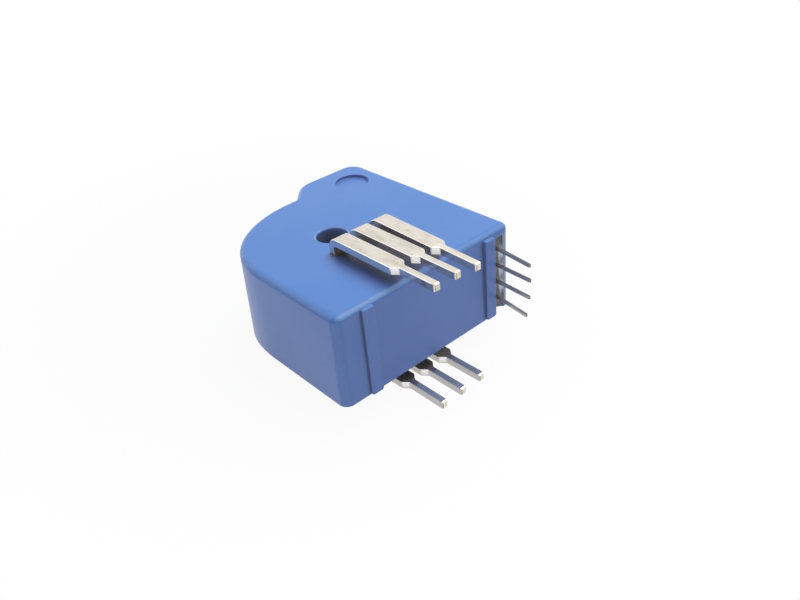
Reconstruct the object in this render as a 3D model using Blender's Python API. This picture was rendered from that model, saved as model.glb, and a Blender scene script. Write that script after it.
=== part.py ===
"""Closed-loop Hall effect current sensor for a circuit board.

The part lies on its back. X runs along the base towards the secondary pins, Y from the circuit
board up through the part, and Z from the back of the part to its front face. Every size is in
metres. The pieces are drawn from the corner where the middle bar, the base and the back meet, and
an empty then carries them all so that the scene's origin is the seat of the left rib.
"""
from math import asin, cos, pi, radians, sin, sqrt, tan

import bmesh
import bpy
from mathutils import Vector

# Housing: outline of the front face. Its width and height follow from what it holds.
CASE_DEPTH = 0.0100           # back rim to front face
ARC_AROUND_RING = 0.0020      # round end, outside the winding
BLOCK_RISE = 0.00265          # how far the electronics block stands above the round end
FLANK_START = radians(8)      # where the flank leaves the round end, from the top of the arc
FLANK_SLOPE = radians(48)
FLANK_FOOT_RADIUS = 0.0012
FLANK_HEAD_RADIUS = 0.0030
BLOCK_CORNER_RADIUS = 0.0020
BASE_LEFT_RADIUS = 0.0010
BASE_RIGHT_RADIUS = 0.0005
FRONT_EDGE_RADIUS = 0.0007
DRAFT = 0.00012               # how much narrower each side is at the front
WALL = 0.0009
FRONT_WALL = 0.0010

# Stand-off ribs on the base
RIB_WIDTH = 0.0014
RIB_HEIGHT = 0.0005
RIB_END_GAP = 0.0004          # from each end of a rib to the rim and to the front face
RIB_EDGE = 0.00018
LEFT_RIB_FROM_SIDE = 0.0037   # middle of the rib from the left wall

# Hole for one more primary wire, and the round mould mark
HOLE_X = -0.00085
HOLE_ABOVE_BARS = 0.00335
HOLE_RADIUS = 0.0016
TUBE_WALL = 0.0008
MARK_FROM_SIDE = 0.0035       # from the right wall
MARK_FROM_TOP = 0.00435
MARK_RADIUS = 0.0019
MARK_DEPTH = 0.0003

# Primary bars
BAR_PITCH = 0.00254
BAR_WIDTH = 0.00175
BAR_THICKNESS = 0.0008
BAR_STAND_OFF = 0.0011        # air between a leg and the face that it runs along
BARS_BELOW_CORE = 0.0024      # bars' webs, from the middle of the core
BAR_BEND_RADIUS = 0.00045     # inside of the bend
BAR_EDGE = 0.00007            # broken edge of the stamped strip
SHOULDER_Y = 0.00035          # where the strip starts to narrow into a solder pin
SHOULDER_LENGTH = 0.00105
SOLDER_PIN_WIDTH = 0.0007
SOLDER_PIN_LENGTH = 0.0050    # below the base
TIP_LENGTH = 0.00035
TIP_NARROWING = 0.00016       # on each side
BAR_LEAN = (0.0, 0.0, radians(1.6))   # front legs, bent towards the case
SLOT_CLEARANCE = 0.0002
POST_WALL = 0.00045           # moulded wall round the slots
POST_CORNER_RADIUS = 0.0008
POST_AIR = 0.00024            # least air between the post and the winding

# Secondary pins, and the notch that they leave by
PIN_PITCH = 0.001905
PIN_WIDTH = 0.0005
PIN_THICKNESS = 0.00025
PIN_REACH = 0.0046            # below the base
PIN_ROOT_Y = 0.0042
PIN_KNEE_Y = 0.0003
PIN_KNEE_LENGTH = 0.00025     # over which the pin turns into its lean
PIN_TIP_LENGTH = 0.00015
PIN_EDGE = 0.00004
PIN_LEAN = (radians(5.8), radians(2.2), radians(3.2), radians(9.0))
NOTCH_LEFT_GAP = 0.00005      # from the right rib's side
PIN_IN_NOTCH = 0.00052        # pins' middle, from the notch's left side
PIN_FROM_SIDE = 0.00183       # pins' middle, from the right wall
NOTCH_ABOVE_PINS = 0.0008
RESIN_SINK = 0.00035          # back of the resin, below the rim
RESIN_THICKNESS = 0.00085
PLUG_SINK = 0.0005            # resin in the notch, below the base
PLUG_INNER_Y = 0.0016

# Fits
CLEARANCE = 0.0003
NESTING = 0.00012             # between the nested pieces of the core
PIN_CLEARANCE = 0.0002

# Core, case and winding
CORE_X = -0.0002
RING_AIR = 0.0004             # winding to the left wall
RING_ABOVE_BASE = 0.0013
BOARD_AIR = 0.00034           # winding to the board
WINDING_THICKNESS = 0.0005
WINDING_RIDGE = 0.00008
WINDING_TURNS = 36            # ridges drawn, each standing for a bundle of turns
WINDING_START = radians(27)
CORE_CASE_WALL = 0.00035
CORE_RADIAL = 0.00132
FLANGE_ANGLE = radians(22)
FLANGE_SPAN = radians(3)
AIR_GAP = 0.0021
RING_STEPS = 40

# Hall element
CHIP_HEIGHT = 0.0030          # radial
CHIP_BEYOND_LEADS = 0.0003    # on each side of the row of leads
CHIP_THICKNESS = 0.0015
CHIP_LEAD = 0.0003
CHIP_LEAD_PITCH = 0.00127
CHIP_LEADS = 4
LEAD_BEYOND_BOARD = 0.0006

# Circuit board and what stands on it
BOARD_THICKNESS = 0.0008
BOARD_BOTTOM_Y = 0.0019
LEAD_HOLE_RADIUS = 0.00042
AMPLIFIER_FROM_TOP = 0.00465  # middle of the chip, from the board's top edge
AMPLIFIER_SIZE = (0.0030, 0.0030, 0.0010)
AMPLIFIER_LEADS = 4           # along each long side
AMPLIFIER_LEAD_PITCH = 0.00065
AMPLIFIER_SPAN = 0.0040
TRANSISTOR_FROM_TOP = 0.00125
TRANSISTOR_SIZE = (0.0027, 0.0012, 0.0009)
TRANSISTOR_SPACING = 0.0031
TRANSISTOR_LEAD_PITCH = 0.0019
TRANSISTOR_SPAN = 0.0021
GULL_LEAD_WIDTH = 0.00028
GULL_LEAD_THICKNESS = 0.00016
GULL_SLOPE = radians(32)
CAPACITOR_FROM_BOTTOM = 0.0019
CAPACITOR_SIZE = (0.0016, 0.0032, 0.0016)
RESISTOR_SIZE = (0.0032, 0.0016, 0.0006)   # a wide one, for current
RESISTOR_FROM_TOP = 0.00085   # middle of the uppermost one
RESISTOR_SPACING = 0.0021
RESISTORS = 3
TERMINAL_LENGTH = 0.0005
TERMINAL_STEP = 0.00004
CHIP_EDGE = 0.00008
WIRE_RADIUS = 0.00014
WIRE_LEAVES = radians(30)
WIRE_BOARD_RISE = 0.0010      # from where it leaves the winding to its hole
WIRE_HEIGHT = 0.0015
WIRE_BENDS = ((0.25, 0.6), (0.6, 0.95))   # shares of the run to the board and of the rise

# Facets
CORNER_STEPS = 5
ARC_STEPS = 26
EDGE_STEPS = 4
ROUND_STEPS = 32
BEND_STEPS = 6

# Sizes worked out from the ones above: bars, post, ring, board, pins, and the case round them
SLOT_WIDTH = BAR_WIDTH + 2 * SLOT_CLEARANCE
SLOT_HEIGHT = BAR_THICKNESS + 2 * SLOT_CLEARANCE
POST_WIDTH = 2 * BAR_PITCH + SLOT_WIDTH + 2 * POST_WALL
POST_HEIGHT = SLOT_HEIGHT + 2 * POST_WALL
POST_FAR_X = POST_WIDTH / 2 + abs(CORE_X) - POST_CORNER_RADIUS
POST_FAR_Y = POST_HEIGHT / 2 + BARS_BELOW_CORE - POST_CORNER_RADIUS
WINDING_INNER_RADIUS = sqrt(POST_FAR_X ** 2 + POST_FAR_Y ** 2) + POST_CORNER_RADIUS + POST_AIR
CASE_RING_INNER = WINDING_INNER_RADIUS + WINDING_THICKNESS + NESTING
CORE_INNER = CASE_RING_INNER + CORE_CASE_WALL + NESTING
CORE_OUTER = CORE_INNER + CORE_RADIAL
CASE_RING_OUTER = CORE_OUTER + NESTING + CORE_CASE_WALL
WINDING_OUTER_RADIUS = CASE_RING_OUTER + NESTING + WINDING_THICKNESS

CASE_LEFT = CORE_X - WINDING_OUTER_RADIUS - RING_AIR - WALL
BOARD_LEFT = CORE_X + WINDING_OUTER_RADIUS + BOARD_AIR
BOARD_RIGHT = BOARD_LEFT + BOARD_THICKNESS
PIN_X = BOARD_RIGHT + CLEARANCE + PIN_THICKNESS / 2
CASE_RIGHT = PIN_X + PIN_FROM_SIDE
NOTCH_LEFT = PIN_X - PIN_IN_NOTCH
NOTCH_RIGHT = CASE_RIGHT - WALL
LEFT_RIB_X = CASE_LEFT + LEFT_RIB_FROM_SIDE
RIGHT_RIB_X = NOTCH_LEFT - NOTCH_LEFT_GAP - RIB_WIDTH / 2

CORE_Y = WALL + RING_ABOVE_BASE + WINDING_OUTER_RADIUS
ARC_CENTRE_Y = CORE_Y
ARC_RADIUS = WINDING_OUTER_RADIUS + ARC_AROUND_RING
CASE_TOP = ARC_CENTRE_Y + ARC_RADIUS + BLOCK_RISE
BAR_WEB_Y = CORE_Y - BARS_BELOW_CORE
HOLE_Y = BAR_WEB_Y + HOLE_ABOVE_BARS
MARK_X = CASE_RIGHT - MARK_FROM_SIDE
MARK_Y = CASE_TOP - MARK_FROM_TOP
BOARD_TOP_Y = CASE_TOP - WALL - CLEARANCE

CAVITY_FRONT = CASE_DEPTH - FRONT_WALL
MIDDLE_Z = CASE_DEPTH / 2
RIB_LENGTH = CASE_DEPTH - 2 * RIB_END_GAP
RESIN_FRONT = RESIN_SINK + RESIN_THICKNESS
TOP_PIN_Z = MIDDLE_Z + PIN_PITCH * (len(PIN_LEAN) - 1) / 2
NOTCH_FRONT = TOP_PIN_Z + PIN_WIDTH / 2 + NOTCH_ABOVE_PINS
BAR_LEG_Z = CASE_DEPTH + BAR_STAND_OFF + BAR_THICKNESS / 2
BOARD_BACK = RESIN_FRONT + CLEARANCE
BOARD_FRONT = CAVITY_FRONT - CLEARANCE
RING_Z = (RESIN_FRONT + CAVITY_FRONT) / 2
RING_HALF_HEIGHT = (CAVITY_FRONT - RESIN_FRONT) / 2 - CLEARANCE
CASE_HALF_HEIGHT = RING_HALF_HEIGHT - WINDING_THICKNESS - NESTING
CORE_HALF_HEIGHT = CASE_HALF_HEIGHT - CORE_CASE_WALL - NESTING
TUBE_RADIUS = HOLE_RADIUS + TUBE_WALL
CHIP_X = CORE_X + (CORE_INNER + CORE_OUTER) / 2
CHIP_WIDTH = CHIP_LEAD_PITCH * (CHIP_LEADS - 1) + CHIP_LEAD + 2 * CHIP_BEYOND_LEADS


def material(name, colour, roughness, metallic=0.0):
    made = bpy.data.materials.new(name)
    made.use_nodes = True
    shader = made.node_tree.nodes["Principled BSDF"]
    shader.inputs["Base Color"].default_value = (*colour, 1.0)
    shader.inputs["Roughness"].default_value = roughness
    shader.inputs["Metallic"].default_value = metallic
    made.diffuse_color = (*colour, 1.0)
    return made


# Outlines

def corner_arc(before, corner, after, radius):
    """Points of the arc that rounds a corner between two straight sides."""
    to_before = (before - corner).normalized()
    to_after = (after - corner).normalized()
    half = to_before.angle(to_after) / 2
    centre = corner + (to_before + to_after).normalized() * (radius / sin(half))
    start = corner + to_before * (radius / tan(half)) - centre
    turn = pi - 2 * half
    if to_before.x * to_after.y - to_before.y * to_after.x > 0:
        turn = -turn
    points = []
    for step in range(CORNER_STEPS + 1):
        angle = turn * step / CORNER_STEPS
        points.append(centre + Vector((start.x * cos(angle) - start.y * sin(angle),
                                       start.x * sin(angle) + start.y * cos(angle))))
    return points


def case_outline(inset=0.0):
    """The housing's outline moved inwards, counter-clockwise from the base's left corner."""
    left, right = CASE_LEFT + inset, CASE_RIGHT - inset
    base, top = inset, CASE_TOP - inset
    arc_centre = Vector((CASE_LEFT + ARC_RADIUS, ARC_CENTRE_Y))
    arc_radius = ARC_RADIUS - inset
    up_flank = Vector((cos(FLANK_SLOPE), sin(FLANK_SLOPE)))
    into_block = Vector((sin(FLANK_SLOPE), -cos(FLANK_SLOPE)))
    start = arc_centre + ARC_RADIUS * Vector((sin(FLANK_START), cos(FLANK_START)))
    start += into_block * inset
    offset = start - arc_centre
    along = offset.dot(up_flank)
    foot = start + up_flank * (sqrt(along ** 2 - offset.length_squared + arc_radius ** 2) - along)
    head = foot + up_flank * ((top - foot.y) / up_flank.y)

    spoke = foot - arc_centre
    tangent = Vector((-spoke.y, spoke.x))
    foot_radius = FLANK_FOOT_RADIUS + inset
    foot_arc = corner_arc(head, foot, foot + tangent, foot_radius)
    foot_angle = asin((foot_arc[-1].y - arc_centre.y) / (foot_arc[-1] - arc_centre).length)
    if foot_arc[-1].x < arc_centre.x:
        foot_angle = pi - foot_angle

    base_left, base_right = Vector((left, base)), Vector((right, base))
    block_corner = Vector((right, top))
    arc_end = Vector((left, arc_centre.y))
    least = FRONT_EDGE_RADIUS / 10
    points = corner_arc(arc_end, base_left, base_right, max(BASE_LEFT_RADIUS - inset, least))
    points += corner_arc(base_left, base_right, block_corner, max(BASE_RIGHT_RADIUS - inset, least))
    points += corner_arc(base_right, block_corner, head, max(BLOCK_CORNER_RADIUS - inset, least))
    points += corner_arc(block_corner, head, foot, max(FLANK_HEAD_RADIUS - inset, least))
    points += foot_arc
    for step in range(1, ARC_STEPS + 1):
        angle = foot_angle + (pi - foot_angle) * step / ARC_STEPS
        points.append(arc_centre + arc_radius * Vector((cos(angle), sin(angle))))
    return points


def rounded_rectangle(centre, width, height, radius):
    x, y = centre
    corners = [Vector((x - width / 2, y - height / 2)), Vector((x + width / 2, y - height / 2)),
               Vector((x + width / 2, y + height / 2)), Vector((x - width / 2, y + height / 2))]
    points = []
    for index, corner in enumerate(corners):
        points += corner_arc(corners[index - 1], corner, corners[(index + 1) % 4], radius)
    return points


def circle(centre, radius, steps=ROUND_STEPS):
    x, y = centre
    return [Vector((x + radius * cos(2 * pi * step / steps), y + radius * sin(2 * pi * step / steps)))
            for step in range(steps)]


# Solids

def finish_mesh(name, mesh_edit, look, smooth=True):
    bmesh.ops.recalc_face_normals(mesh_edit, faces=mesh_edit.faces)
    mesh = bpy.data.meshes.new(name)
    mesh_edit.to_mesh(mesh)
    mesh_edit.free()
    if smooth:
        mesh.shade_smooth()
        mesh.set_sharp_from_angle(angle=radians(30))
    solid = bpy.data.objects.new(name, mesh)
    solid.data.materials.append(look)
    bpy.context.scene.collection.objects.link(solid)
    return solid


def skin(name, rings, look, closed_loop=False):
    """A closed solid through rings of points; its ends are capped unless the rings form a loop."""
    mesh_edit = bmesh.new()
    made = [[mesh_edit.verts.new(point) for point in ring] for ring in rings]
    pairs = list(zip(made, made[1:]))
    if closed_loop:
        pairs.append((made[-1], made[0]))
    for ring, following in pairs:
        for index in range(len(ring)):
            after = (index + 1) % len(ring)
            mesh_edit.faces.new((ring[index], ring[after], following[after], following[index]))
    if not closed_loop:
        mesh_edit.faces.new(made[0][::-1])
        mesh_edit.faces.new(made[-1])
    return finish_mesh(name, mesh_edit, look)


def prism(name, outline, low, high, look):
    return skin(name, [[(p.x, p.y, low) for p in outline], [(p.x, p.y, high) for p in outline]], look)


def box(name, low, high, look, edge=0.0, segments=2):
    mesh_edit = bmesh.new()
    bmesh.ops.create_cube(mesh_edit, size=1.0)
    for vertex in mesh_edit.verts:
        for axis in range(3):
            vertex.co[axis] = low[axis] if vertex.co[axis] < 0 else high[axis]
    if edge > 0:
        bmesh.ops.bevel(mesh_edit, geom=mesh_edit.edges[:], offset=edge, segments=segments,
                        profile=0.5, affect="EDGES")
    return finish_mesh(name, mesh_edit, look)


def combine(target, tool, operation):
    modifier = target.modifiers.new(operation.title(), "BOOLEAN")
    modifier.operation = operation
    modifier.solver = "EXACT"
    modifier.object = tool
    tool.name = "tool_" + tool.name
    tool.hide_render = True
    tool.display_type = "WIRE"


def cut(target, tool):
    combine(target, tool, "DIFFERENCE")


def join(target, tool):
    combine(target, tool, "UNION")


def turned(name, profile_at, angles, look, full_circle=False):
    """A profile of (radius, height) points swept round the core's axis."""
    rings = []
    for index, angle in enumerate(angles):
        rings.append([(CORE_X + radius * cos(angle), CORE_Y + radius * sin(angle), RING_Z + height)
                      for radius, height in profile_at(index)])
    return skin(name, rings, look, closed_loop=full_circle)


def strip(name, stations, x, edge, look):
    """A strip whose stations are (y, z, heading, width along X, thickness), heading from +Y to +Z."""
    rings = []
    for y, z, heading, width, thickness in stations:
        across = Vector((0, -sin(heading), cos(heading)))
        half_width, half_thickness = width / 2, thickness / 2
        section = [(half_width - edge, -half_thickness), (half_width, -half_thickness + edge),
                   (half_width, half_thickness - edge), (half_width - edge, half_thickness),
                   (edge - half_width, half_thickness), (-half_width, half_thickness - edge),
                   (-half_width, -half_thickness + edge), (edge - half_width, -half_thickness)]
        rings.append([Vector((x + dx, y, z)) + across * dn for dx, dn in section])
    return skin(name, rings, look)


# Housing

def make_housing(look):
    rings = [(0.0, 0.0), (DRAFT, CASE_DEPTH - FRONT_EDGE_RADIUS)]
    for step in range(1, EDGE_STEPS + 1):
        angle = pi / 2 * step / EDGE_STEPS
        rings.append((DRAFT + FRONT_EDGE_RADIUS * (1 - cos(angle)),
                      CASE_DEPTH - FRONT_EDGE_RADIUS * (1 - sin(angle))))
    housing = skin("housing", [[(p.x, p.y, z) for p in case_outline(inset)] for inset, z in rings], look)
    for name, rib_x in (("left_rib", LEFT_RIB_X), ("right_rib", RIGHT_RIB_X)):
        rib = box(name, (rib_x - RIB_WIDTH / 2, -RIB_HEIGHT, MIDDLE_Z - RIB_LENGTH / 2),
                  (rib_x + RIB_WIDTH / 2, WALL / 2, MIDDLE_Z + RIB_LENGTH / 2), look, RIB_EDGE)
        join(housing, rib)
    cut(housing, prism("cavity", case_outline(WALL), -CLEARANCE, CAVITY_FRONT, look))
    into_front = CAVITY_FRONT + FRONT_WALL / 2
    post_outline = rounded_rectangle((0, BAR_WEB_Y), POST_WIDTH, POST_HEIGHT, POST_CORNER_RADIUS)
    join(housing, prism("post", post_outline, 0, into_front, look))
    join(housing, prism("tube", circle((HOLE_X, HOLE_Y), TUBE_RADIUS), 0, into_front, look))
    below, above = -CLEARANCE, CASE_DEPTH + CLEARANCE
    cut(housing, prism("through_hole", circle((HOLE_X, HOLE_Y), HOLE_RADIUS), below, above, look))
    for side in (-1, 0, 1):
        low = (side * BAR_PITCH - SLOT_WIDTH / 2, BAR_WEB_Y - SLOT_HEIGHT / 2, below)
        high = (side * BAR_PITCH + SLOT_WIDTH / 2, BAR_WEB_Y + SLOT_HEIGHT / 2, above)
        cut(housing, box("bar_slot", low, high, look))
    cut(housing, box("pin_notch", (NOTCH_LEFT, -RIB_HEIGHT, below),
                     (NOTCH_RIGHT, WALL + CLEARANCE, NOTCH_FRONT), look))
    cut(housing, prism("mould_mark", circle((MARK_X, MARK_Y), MARK_RADIUS),
                       CASE_DEPTH - MARK_DEPTH, above, look))
    return housing


def make_resin(look):
    resin = prism("potting_resin", case_outline(WALL + CLEARANCE), RESIN_SINK, RESIN_FRONT, look)
    plug_left = NOTCH_LEFT + CLEARANCE
    plug_right = NOTCH_RIGHT - CLEARANCE
    join(resin, box("notch_plug", (plug_left, PLUG_SINK, RESIN_SINK),
                    (plug_right, PLUG_INNER_Y, NOTCH_FRONT - CLEARANCE), look))
    below, above = 0, RESIN_FRONT + CLEARANCE
    around_post = rounded_rectangle((0, BAR_WEB_Y), POST_WIDTH + 2 * CLEARANCE,
                                    POST_HEIGHT + 2 * CLEARANCE, POST_CORNER_RADIUS + CLEARANCE)
    cut(resin, prism("resin_round_post", around_post, below, above, look))
    around_tube = circle((HOLE_X, HOLE_Y), TUBE_RADIUS + CLEARANCE)
    cut(resin, prism("resin_round_tube", around_tube, below, above, look))
    for z in pin_heights():
        reach = PIN_WIDTH / 2 + PIN_CLEARANCE
        cut(resin, box("resin_round_pin", (plug_left - PIN_CLEARANCE, 0, z - reach),
                       (PIN_X + PIN_THICKNESS / 2 + PIN_CLEARANCE, PIN_ROOT_Y + CLEARANCE, z + reach),
                       look))
    return resin


# Conductors

def shoulder_width(share):
    """The strip's width at a share of the shoulder, as an S between the bar and the solder pin."""
    blend = share * share * (3 - 2 * share)
    return BAR_WIDTH + (SOLDER_PIN_WIDTH - BAR_WIDTH) * blend


def leg_stations(side, lean):
    """One half of a bar, from its middle to the tip of its solder pin; side is 1 at the front."""
    mean_radius = BAR_BEND_RADIUS + BAR_THICKNESS / 2
    leg_z = MIDDLE_Z + side * (BAR_LEG_Z - MIDDLE_Z)
    y, z = BAR_WEB_Y, leg_z - side * mean_radius
    stations = [(y, z, side * pi / 2, BAR_WIDTH, BAR_THICKNESS)]
    centre_y = y - mean_radius
    for step in range(1, BEND_STEPS + 1):
        turn = (pi / 2 + lean) * step / BEND_STEPS
        stations.append((centre_y + mean_radius * cos(turn), z + side * mean_radius * sin(turn),
                         side * (pi / 2 + turn), BAR_WIDTH, BAR_THICKNESS))
    y, z, heading = stations[-1][:3]
    shoulder = y - SHOULDER_Y
    tip = y + SOLDER_PIN_LENGTH
    reaches = []
    for step in range(BEND_STEPS + 1):
        share = step / BEND_STEPS
        reaches.append((shoulder + SHOULDER_LENGTH * share, shoulder_width(share), BAR_THICKNESS))
    reaches.append((tip - TIP_LENGTH, SOLDER_PIN_WIDTH, BAR_THICKNESS))
    reaches.append((tip, SOLDER_PIN_WIDTH - 2 * TIP_NARROWING, BAR_THICKNESS - 2 * TIP_NARROWING))
    for reach, width, thickness in reaches:
        stations.append((y + reach * cos(heading), z + reach * sin(heading), heading, width, thickness))
    return stations


def make_bar(number, side, lean, look):
    back = [(y, z, heading + pi, width, thickness)
            for y, z, heading, width, thickness in reversed(leg_stations(-1, 0.0))]
    return strip(f"primary_bar_{number}", back + leg_stations(1, lean), side * BAR_PITCH, BAR_EDGE, look)


def pin_heights():
    return [TOP_PIN_Z - PIN_PITCH * index for index in range(len(PIN_LEAN))]


def make_pin(number, z, lean, look):
    reach = PIN_KNEE_Y + PIN_REACH
    heading = pi + lean
    stations = [(y, z, pi, PIN_THICKNESS, PIN_WIDTH) for y in (PIN_ROOT_Y, PIN_KNEE_Y)]
    for along, narrowing in ((PIN_KNEE_LENGTH, 0), (reach - PIN_TIP_LENGTH, 0), (reach, PIN_EDGE)):
        stations.append((PIN_KNEE_Y + along * cos(heading), z + along * sin(heading),
                         heading, PIN_THICKNESS - 2 * narrowing, PIN_WIDTH - 2 * narrowing))
    return strip(f"secondary_pin_{number}", stations, PIN_X, PIN_EDGE, look)


# Core, its case and the winding

def ring_angles(count=RING_STEPS):
    return [2 * pi * step / count for step in range(count)]


def make_core(look):
    profile = [(CORE_INNER, -CORE_HALF_HEIGHT), (CORE_OUTER, -CORE_HALF_HEIGHT),
               (CORE_OUTER, CORE_HALF_HEIGHT), (CORE_INNER, CORE_HALF_HEIGHT)]
    core = turned("magnetic_core", lambda index: profile, ring_angles(), look, full_circle=True)
    cut(core, air_gap_tool("core_air_gap", look))
    return core


def air_gap_tool(name, look):
    return box(name, (CORE_X, CORE_Y - AIR_GAP / 2, RING_Z - RING_HALF_HEIGHT - CLEARANCE),
               (CORE_X + WINDING_OUTER_RADIUS + CLEARANCE, CORE_Y + AIR_GAP / 2,
                RING_Z + RING_HALF_HEIGHT + CLEARANCE), look)


def channel_profile(side, wall_inner, wall_outer, height):
    """A channel open towards the middle plane; side is 1 for the front half of the case."""
    split = NESTING / 2
    cover = CORE_HALF_HEIGHT + NESTING
    bed_inner, bed_outer = CORE_INNER - NESTING, CORE_OUTER + NESTING
    points = [(wall_inner, split), (wall_inner, height), (wall_outer, height), (wall_outer, split),
              (bed_outer, split), (bed_outer, cover), (bed_inner, cover), (bed_inner, split)]
    return [(radius, side * z) for radius, z in points]


def make_core_case(name, side, look):
    channel = channel_profile(side, CASE_RING_INNER, CASE_RING_OUTER, CASE_HALF_HEIGHT)
    case = turned(name, lambda index: channel, ring_angles(), look, full_circle=True)
    flange = channel_profile(side, WINDING_INNER_RADIUS, WINDING_OUTER_RADIUS, RING_HALF_HEIGHT)
    for sign in (-1, 1):
        angles = [sign * (FLANGE_ANGLE + FLANGE_SPAN * (share - 0.5)) for share in (0, 1)]
        join(case, turned(name + "_flange", lambda index: flange, angles, look))
    cut(case, air_gap_tool(name + "_gap", look))
    return case


def make_winding(look):
    count = 2 * WINDING_TURNS + 1
    span = 2 * pi - 2 * WINDING_START
    angles = [WINDING_START + span * step / (count - 1) for step in range(count)]
    hollow_inner, hollow_outer = CASE_RING_INNER - NESTING, CASE_RING_OUTER + NESTING
    hollow_height = CASE_HALF_HEIGHT + NESTING

    def outside(index):
        low = WINDING_RIDGE * ((index + 1) % 2)
        inner, outer = WINDING_INNER_RADIUS + low, WINDING_OUTER_RADIUS - low
        height = RING_HALF_HEIGHT - low
        shoulder = WINDING_THICKNESS
        return [(inner, -height + shoulder), (inner + shoulder, -height), (outer - shoulder, -height),
                (outer, -height + shoulder), (outer, height - shoulder), (outer - shoulder, height),
                (inner + shoulder, height), (inner, height - shoulder)]

    hollow = [(hollow_inner, -hollow_height), (hollow_outer, -hollow_height),
              (hollow_outer, hollow_height), (hollow_inner, hollow_height)]
    winding = turned("compensation_winding", outside, angles, look)
    ends = [angles[0] - FLANGE_SPAN] + angles + [angles[-1] + FLANGE_SPAN]
    cut(winding, turned("winding_hollow", lambda index: hollow, ends, look))
    return winding


def make_winding_lead(number, side, look):
    """A wire from the winding's end to its hole in the board; side is 1 for the upper end."""
    leave = WINDING_OUTER_RADIUS + NESTING + WIRE_RADIUS
    y = leave * sin(WIRE_LEAVES)
    x = CORE_X + leave * cos(WIRE_LEAVES)
    hole_y = y + WIRE_BOARD_RISE
    run = BOARD_LEFT - x
    bends = [(x + run * run_share, y + WIRE_BOARD_RISE * rise_share) for run_share, rise_share in WIRE_BENDS]
    route = [(x, y), *bends, (BOARD_LEFT, hole_y), (BOARD_RIGHT + CLEARANCE, hole_y)]
    curve = bpy.data.curves.new(f"winding_lead_{number}", "CURVE")
    curve.dimensions = "3D"
    curve.bevel_depth = WIRE_RADIUS
    curve.bevel_resolution = 2
    curve.use_fill_caps = True
    spline = curve.splines.new("POLY")
    spline.points.add(len(route) - 1)
    for point, (route_x, route_y) in zip(spline.points, route):
        point.co = (route_x, CORE_Y + side * route_y, RING_Z + side * WIRE_HEIGHT, 1)
    curve.materials.append(look)
    lead = bpy.data.objects.new(curve.name, curve)
    bpy.context.scene.collection.objects.link(lead)
    return lead, (CORE_Y + side * hole_y, RING_Z + side * WIRE_HEIGHT)


# Electronics

def lead_row(count, pitch):
    """Places along a row of leads, from its middle."""
    return [pitch * (index - (count - 1) / 2) for index in range(count)]


def chip_lead_heights():
    return [RING_Z + place for place in lead_row(CHIP_LEADS, CHIP_LEAD_PITCH)]


def make_hall_element(look):
    reach = Vector((CHIP_HEIGHT, CHIP_THICKNESS, CHIP_WIDTH)) / 2
    middle = Vector((CHIP_X, CORE_Y, RING_Z))
    chip = box("hall_element", middle - reach, middle + reach, look, CHIP_EDGE, 1)
    for z in chip_lead_heights():
        half = CHIP_LEAD / 2
        join(chip, box("hall_lead", (CHIP_X, CORE_Y - half, z - half),
                       (BOARD_RIGHT + LEAD_BEYOND_BOARD, CORE_Y + half, z + half), look))
    return chip


def make_board(wire_holes, look):
    board = box("circuit_board", (BOARD_LEFT, BOARD_BOTTOM_Y, BOARD_BACK),
                (BOARD_RIGHT, BOARD_TOP_Y, BOARD_FRONT), look)
    places = [(CORE_Y, z) for z in chip_lead_heights()] + wire_holes
    for y, z in places:
        hole = [[(x, p.x, p.y) for p in circle((y, z), LEAD_HOLE_RADIUS, ROUND_STEPS // 2)]
                for x in (BOARD_LEFT - CLEARANCE, BOARD_RIGHT + CLEARANCE)]
        cut(board, skin("board_hole", hole, look))
    return board


def stand_on_board(part, y, z, side):
    """Turns a part drawn standing on the XY plane so that it stands on the board's face."""
    face = BOARD_RIGHT + CLEARANCE if side > 0 else BOARD_LEFT - CLEARANCE
    part.location = (face, y, z)
    part.rotation_euler = (0, side * pi / 2, 0)
    return part


def make_package(name, size, rows, span, look):
    """A moulded package with a row of gull-wing leads along each of its long sides."""
    length, width, height = size
    lift = GULL_LEAD_THICKNESS
    package = box(name, (-length / 2, -width / 2, lift), (length / 2, width / 2, lift + height),
                  look, CHIP_EDGE, 1)
    shoulder_z = lift + height / 2
    for side, row in zip((-1, 1), rows):
        for x in row:
            knee = side * (width + span) / 4
            points = [(side * width / 4, shoulder_z, 0), (knee, shoulder_z, -side * GULL_SLOPE),
                      (knee + side * lift, lift / 2, -side * GULL_SLOPE), (side * span / 2, lift / 2, 0)]
            stations = [(y, z, heading, GULL_LEAD_WIDTH, lift) for y, z, heading in points]
            lead = strip(name + "_lead", stations, x, lift / 8, look)
            lead.parent = package
            join(package, lead)
    return package


def make_chip_part(name, size, look):
    """A block with a raised metal terminal round each end; its length runs up the board."""
    width, length, height = size
    stations = []
    for reach, step in ((-length / 2, 0), (TERMINAL_LENGTH - length / 2, 0),
                        (TERMINAL_LENGTH - length / 2, TERMINAL_STEP),
                        (length / 2 - TERMINAL_LENGTH, TERMINAL_STEP),
                        (length / 2 - TERMINAL_LENGTH, 0), (length / 2, 0)):
        stations.append((reach, height / 2, 0, width - 2 * step, height - 2 * step))
    return strip(name, stations, 0, TERMINAL_STEP, look)


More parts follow.
